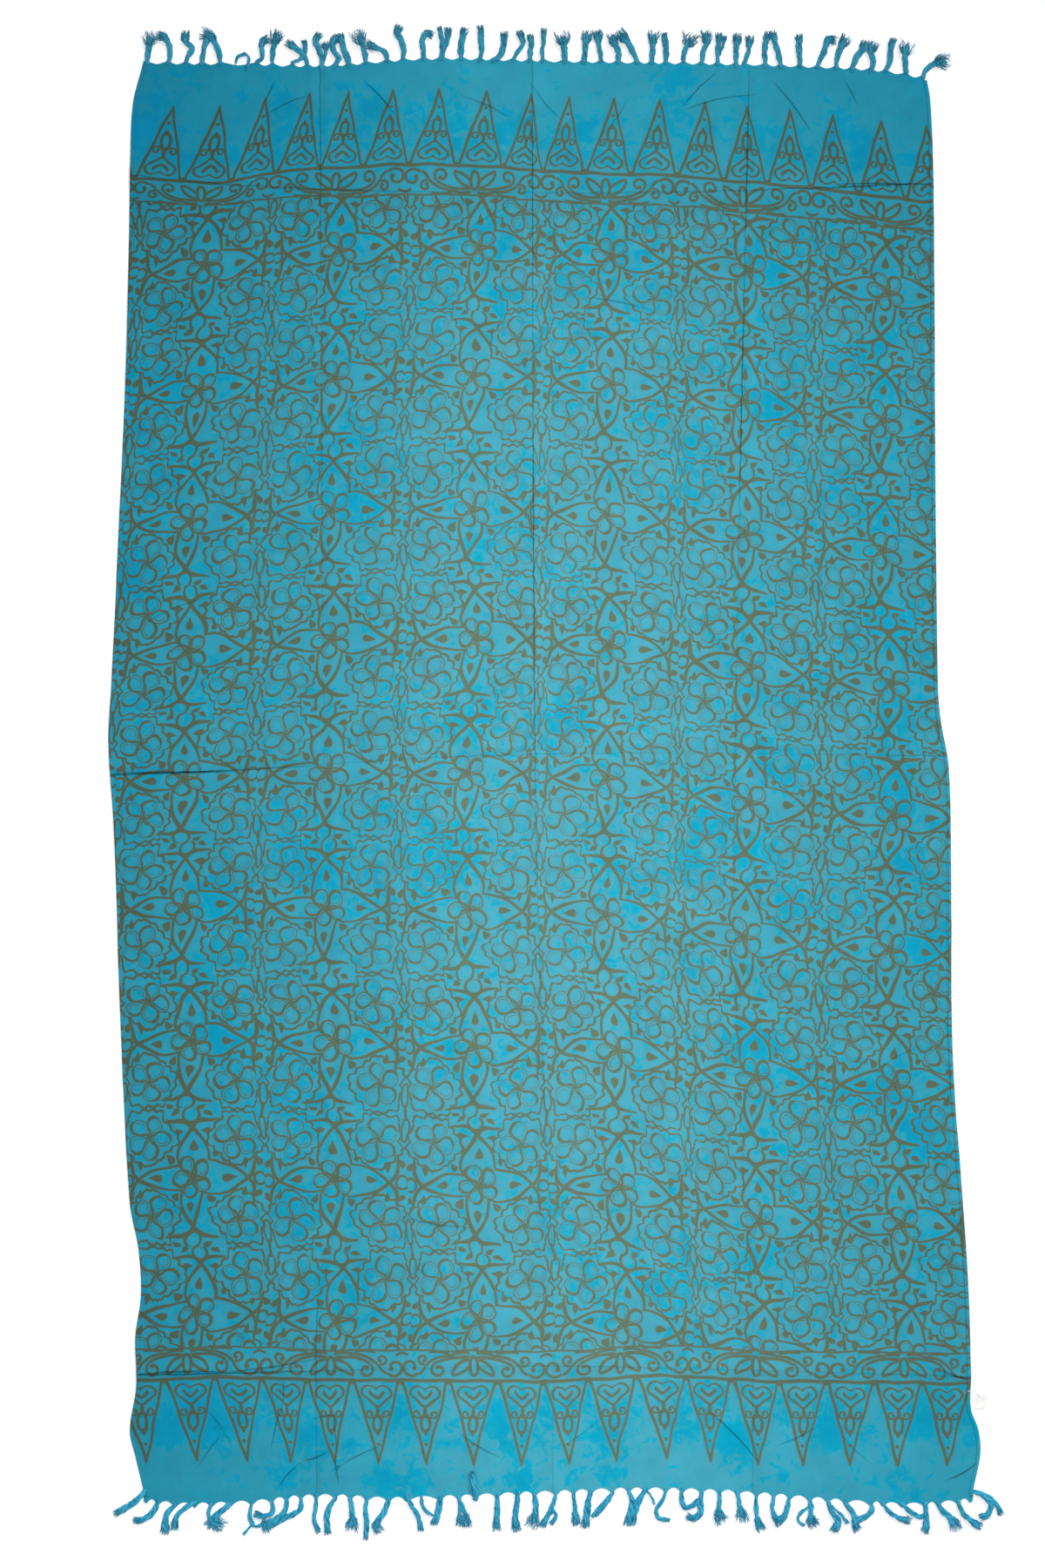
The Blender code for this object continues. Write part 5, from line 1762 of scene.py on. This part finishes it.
# How many print units wider the lines are where the block was fresh, at metres up and at shares of the width
FRESH_INK = (
    (-0.9, 0.04), (-0.33, 0.0), (-0.27, 0.13), (-0.235, -0.09), (0.0, -0.08), (0.15, -0.03), (0.23, 0.1),
    (0.265, -0.1), (0.6, -0.06), (0.66, 0.08), (0.8, 0.18),
)
SIDE_INK = ((0.0, 0.08), (0.1, 0.12), (0.2, 0.0), (0.6, -0.03), (0.9, 0.03), (1.0, 0.06))
# How strongly the painted shade works on red, green and blue: on the dye, and how much more on ink
FALLOFF_SHADE_POWERS = ((2.9, -1.4), (0.96, 0.46), (0.74, 0.64))
BROAD_PATCHES = 8.5  # noise cells in a metre
FINE_PATCHES = 64.0
PATCH_MIX = (0.95, 0.5, -0.16)  # how much of the fine and of the broad noise makes a patch, and the offset
PATCH_EDGE = (0.6, 0.685)  # where more dye starts to show, and where it shows fully
SHARP_EDGE = (0.655, 0.675)  # the same for the patches' sharp middles
POURED = 0.24  # what the middle of a poured spot adds
THREADS = 1150.0  # per metre
FLAT = {"noise_dimensions": "2D"}

dyed_rayon, tree = new_material("dyed rayon")
place = add(tree, STORED, attribute_name="cloth_place").outputs["Vector"]
body = add(tree, STORED, attribute_name="body_print").outputs["Vector"]
border = add(tree, STORED, attribute_name="border_print").outputs["Vector"]
wander = add(tree, NOISE, body, named={"Scale": WANDER_SCALE, "Detail": 0.0}, **FLAT)
bent = add(tree, V_PLUS, wander.outputs["Color"], (-0.5, -0.5, -0.5))
body_spot = add(tree, V_TIMES_PLUS, bent, (BODY_WANDER, BODY_WANDER, 0.0), body)
border_spot = add(tree, V_TIMES_PLUS, bent, (BORDER_WANDER,) * 3, border)
across, up, along = add(tree, SEPARATE, border_spot).outputs
floral = floral_repeat(tree, body_spot)
triangles = triangle_row(tree, across, up)
scrolls = scroll_band(tree, along, up)
past_band = add(tree, PLUS, up, BAND_DEPTH)
floral = only_where(tree, floral, past_band)
outside = joined(tree, [floral, triangles, scrolls])
print("printed lines:", len(tree.nodes), "nodes")

# %% Ink, its rim and the dye under it
ragged = add(tree, NOISE, body, named={"Scale": RAGGED_SCALE, "Detail": 2.0}, **FLAT)
rough_edge = add(tree, TIMES_PLUS, ragged, -RAGGED_EDGE, RAGGED_EDGE / 2)

# The blocks printed harder up the middle of each column and where leaves meet, and where freshly inked
x, y, share = add(tree, SEPARATE, place).outputs
body_x, body_y, _ = add(tree, SEPARATE, body).outputs
columns_hard = add(tree, COSINE, add(tree, TIMES, body_x, math.tau / TILE[0]))
rows_hard = add(tree, COSINE, add(tree, TIMES, body_y, math.tau / TILE[1]))
both_hard = add(tree, MOST, columns_hard, add(tree, MINUS, rows_hard, 0.3))
fresh_rows = chart_curve(tree, y, FRESH_INK)
inked = add(tree, PLUS, fresh_rows, chart_curve(tree, share, SIDE_INK))
pressed = add(tree, TIMES_PLUS, both_hard, HARD_PRESSED, add(tree, PLUS, inked, ALWAYS_PRESSED))
on_body = within(tree, up, -BAND_DEPTH - 4, -BAND_DEPTH)
pressed = add(tree, TIMES, pressed, on_body)
edge = add(tree, MINUS, add(tree, PLUS, outside, rough_edge), pressed)
ink = within(tree, edge, -STROKE_EDGE, STROKE_EDGE)
cover_share = add(tree, RANGE, pressed, -0.25, 0.15, *INK_COVER)
rim = add(tree, TIMES, within(tree, edge, *RIM_REACH), RIM_SHOWN)
spot = add(tree, COMBINE, x, y, 0.0)

# Painted shade: darker towards the sides and the top end, where the light falls off
side_falloff_shade = chart_curve(tree, share, FALLOFF_SHADE_SIDES)
end_falloff_shade = chart_curve(tree, y, FALLOFF_SHADE_ENDS)
depth = add(tree, TIMES, side_falloff_shade, end_falloff_shade)

# Patches where more dye went on, and runs of the brush beside the triangles' points
broad_kind = {"Scale": BROAD_PATCHES, "Detail": 3.0, "Roughness": 0.55, "Distortion": 0.9}
broad = add(tree, NOISE, spot, named=broad_kind, **FLAT)
fine_kind = {"Scale": FINE_PATCHES, "Detail": 5.0, "Roughness": 0.68, "Distortion": 0.5}
fine = add(tree, NOISE, spot, named=fine_kind, **FLAT)
rough_patch = add(tree, TIMES_PLUS, fine, PATCH_MIX[0], add(tree, TIMES_PLUS, broad, *PATCH_MIX[1:]))
# Where the painted shade is darker, the deeper dye patches also come a little sooner
soaked = add(tree, TIMES_PLUS, add(tree, MINUS, 1.0, depth), 0.05, rough_patch)
among = add(tree, TIMES, within(tree, up, -2.0, 14.0, 0.0, 0.07), within(tree, up, 55.0, 100.0))
soaked = add(tree, PLUS, soaked, among)
soaked = add(tree, MINUS, soaked, within(tree, up, 62.0, 100.0, 0.0, 0.07))
creases = add(tree, STORED, attribute_name="short_creases").outputs["Vector"]
poured = add(tree, SEPARATE, creases).outputs["Z"]
soaked = add(tree, TIMES_PLUS, poured, POURED, soaked)
patch = within(tree, soaked, *PATCH_EDGE, 0.0, 1.0)
sharp_patch = within(tree, soaked, *SHARP_EDGE, 0.0, 0.35)
streaks = within(tree, fine, 0.52, 0.72, 0.0, 0.3)
drawn_out = add(tree, V_TIMES, spot, (3.4, 0.9, 1.0))
runs = add(tree, NOISE, drawn_out, named={"Scale": 26.0, "Detail": 4.0, "Roughness": 0.6}, **FLAT)
near_point = add(tree, TIMES, within(tree, up, 15.0, 60.0, 0.0, 1.0), within(tree, up, 75.0, 105.0))
brushed = add(tree, TIMES, within(tree, runs, 0.54, 0.6, 0.0, 0.4), near_point)
patched = add(tree, TIMES_PLUS, patch, 0.75, streaks)
deep = add(tree, PLUS, patched, add(tree, PLUS, sharp_patch, brushed), use_clamp=True)

ground = add(tree, MIX, rim, *map(linear, GROUND), data_type="RGBA")
deepest = within(tree, soaked, 0.62, 0.85, 0.0, 1.0)
patch_tone = add(tree, MIX, deepest, *map(linear, PATCHES), data_type="RGBA")
cover = add(tree, TIMES_PLUS, rim, -0.2, 1.0)
deep_cover = add(tree, TIMES, deep, cover)
dyed = add(tree, MIX, deep_cover, ground, patch_tone, data_type="RGBA")
thinner = within(tree, ragged, 0.35, 0.65, 0.0, 0.6)
stroke_tone = add(tree, MIX, thinner, *map(linear, STROKES), data_type="RGBA")
printed = add(tree, MIX, add(tree, TIMES, ink, cover_share), dyed, stroke_tone, data_type="RGBA")

# The painted shade darkens red, green and blue, each by its own power
tones = []
for on_dye, on_ink in FALLOFF_SHADE_POWERS:
    power = add(tree, TIMES_PLUS, ink, on_ink, on_dye)
    tones.append(add(tree, POWER, depth, power))
mottle = add(tree, NOISE, spot, named={"Scale": 22.0, "Detail": 5.0, "Roughness": 0.6}, **FLAT)
mottled = add(tree, RANGE, mottle, 0.3, 0.7, 0.93, 1.06)
toned = add(tree, V_TIMES, printed, add(tree, COMBINE, *tones))
print("dye and ink:", len(tree.nodes), "nodes")

# %% Fold lines, creases and weave
# Painted shade: a thin dark line along each pressed fold and short crease, where its valley falls in shade,
# broken where the cloth has relaxed
FOLD_WIDTHS = (("X", 0.75), ("Y", 0.8))  # along the cloth and across it, in millimetres
FOLD_DARK, CREASE_DARK = 0.6, 0.5
SHAKE = 3.6  # millimetres that a fold line strays, from one extreme to the other
SLUB_STRETCH = (1.0, 14.0, 1.0)  # thicker yarns show as short streaks across the cloth
folds = add(tree, STORED, attribute_name="fold_lines").outputs["Vector"]
creases = add(tree, STORED, attribute_name="short_creases").outputs["Vector"]
fold_parts = add(tree, SEPARATE, folds)
crease_side, crease_shown, _ = add(tree, SEPARATE, creases).outputs
clear = add(tree, STORED, attribute_name="fold_clearness").outputs["Vector"]
clear_parts = add(tree, SEPARATE, clear)
shaky = add(tree, NOISE, spot, named={"Scale": 70.0, "Detail": 3.0}, **FLAT)
shift = add(tree, TIMES_PLUS, shaky, SHAKE, -SHAKE / 2)
fold_lines = []
fold_heights = []
for name, width in FOLD_WIDTHS:
    off = add(tree, PLUS, fold_parts.outputs[name], shift)
    gap = add(tree, SIZE, off)
    thin = within(tree, gap, width * 0.3, width * 1.8)
    fold_lines.append(add(tree, TIMES, thin, clear_parts.outputs[name]))
    step = within(tree, off, -3.4, 1.2, 0.0, 1.0)
    fold_heights.append(add(tree, TIMES, step, clear_parts.outputs[name]))
fold_line = add(tree, MOST, *fold_lines)
crease_off = add(tree, TIMES_PLUS, shift, 0.4, crease_side)
crease_gap = add(tree, SIZE, crease_off)
crease_line = add(tree, TIMES, within(tree, crease_gap, 0.2, 1.3), crease_shown, use_clamp=True)
# Painted shade of the folds and of the short creases, taken off the colour
painted_fold_shade = add(tree, TIMES, fold_line, FOLD_DARK)
line_share = add(tree, TIMES_PLUS, crease_line, CREASE_DARK, painted_fold_shade, use_clamp=True)
line_shade = add(tree, MINUS, 1.0, line_share)
shade = add(tree, TIMES, mottled, line_shade)
coloured = add(tree, V_SCALED, toned, shade)

# Weave: threads over and under, as a checker of soft bumps, under slubs, crumples, folds and creases
across_thread = add(tree, SINE, add(tree, TIMES, x, THREADS * math.tau))
along_thread = add(tree, SINE, add(tree, TIMES, y, THREADS * math.tau))
weave = add(tree, TIMES, across_thread, along_thread)
drawn_out = add(tree, V_TIMES, spot, SLUB_STRETCH)
slub = add(tree, NOISE, drawn_out, named={"Scale": 90.0, "Detail": 2.0}, **FLAT)
crumple = add(tree, NOISE, spot, named={"Scale": 34.0, "Detail": 3.0, "Distortion": 0.6}, **FLAT)
relief = add(tree, BUMP, named={"Strength": 0.35, "Distance": 0.00008, "Height": weave})
relief = add(tree, BUMP, named={"Strength": 0.5, "Distance": 0.0002, "Height": slub, "Normal": relief})
relief = add(tree, BUMP, named={"Strength": 0.5, "Distance": 0.0016, "Height": crumple, "Normal": relief})
fold_height_map = add(tree, PLUS, *fold_heights)
relief = add(
    tree, BUMP, named={"Strength": 0.6, "Distance": 0.0012, "Height": fold_height_map, "Normal": relief}
)
crease_rise = add(tree, TIMES, within(tree, crease_off, -2.6, 1.0, 0.0, 1.0), crease_shown)
relief = add(tree, BUMP, named={"Strength": 0.6, "Distance": 0.0016, "Height": crease_rise, "Normal": relief})
shader = add(
    tree, "ShaderNodeBsdfPrincipled", coloured, named={"Roughness": 0.86, "IOR": 1.42, "Normal": relief}
)
shader.inputs["Specular IOR Level"].default_value = 0.12
shader.inputs["Sheen Weight"].default_value = 0.03
shader.inputs["Sheen Roughness"].default_value = 0.5
add(tree, "ShaderNodeOutputMaterial", shader)
for piece in (cloth, end_top, end_bottom, hem_left, hem_right):
    piece.data.materials.append(dyed_rayon)
print("printed rayon:", len(tree.nodes), "nodes")

# %% [markdown]
# ## Hand the pieces over
#
# Every piece moves with the frame's single body. Each one that stands for an imported solid hides it.

# %% Pieces, their solids and their slots
handed_over = (
    # piece, the solid that it stands for, slot
    (cloth, "cloth", "dyed rayon"),
    (end_top, None, "dyed rayon"),
    (end_bottom, None, "dyed rayon"),
    (hem_left, "side_hem_left", "rolled rayon edge"),
    (hem_right, "side_hem_right", "rolled rayon edge"),
    (stitches_left, None, "rolled rayon edge"),
    (stitches_right, None, "rolled rayon edge"),
    (fringe_top, "fringe_top", "twisted rayon yarn"),
    (fringe_bottom, "fringe_bottom", "twisted rayon yarn"),
    (label, "label", "white label satin"),
    (label_thread, None, "white label satin"),
)
for piece, solid, slot in handed_over:
    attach(piece, "root")
    if solid:
        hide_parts(solid)
print(len(handed_over), "pieces ride on the frame")
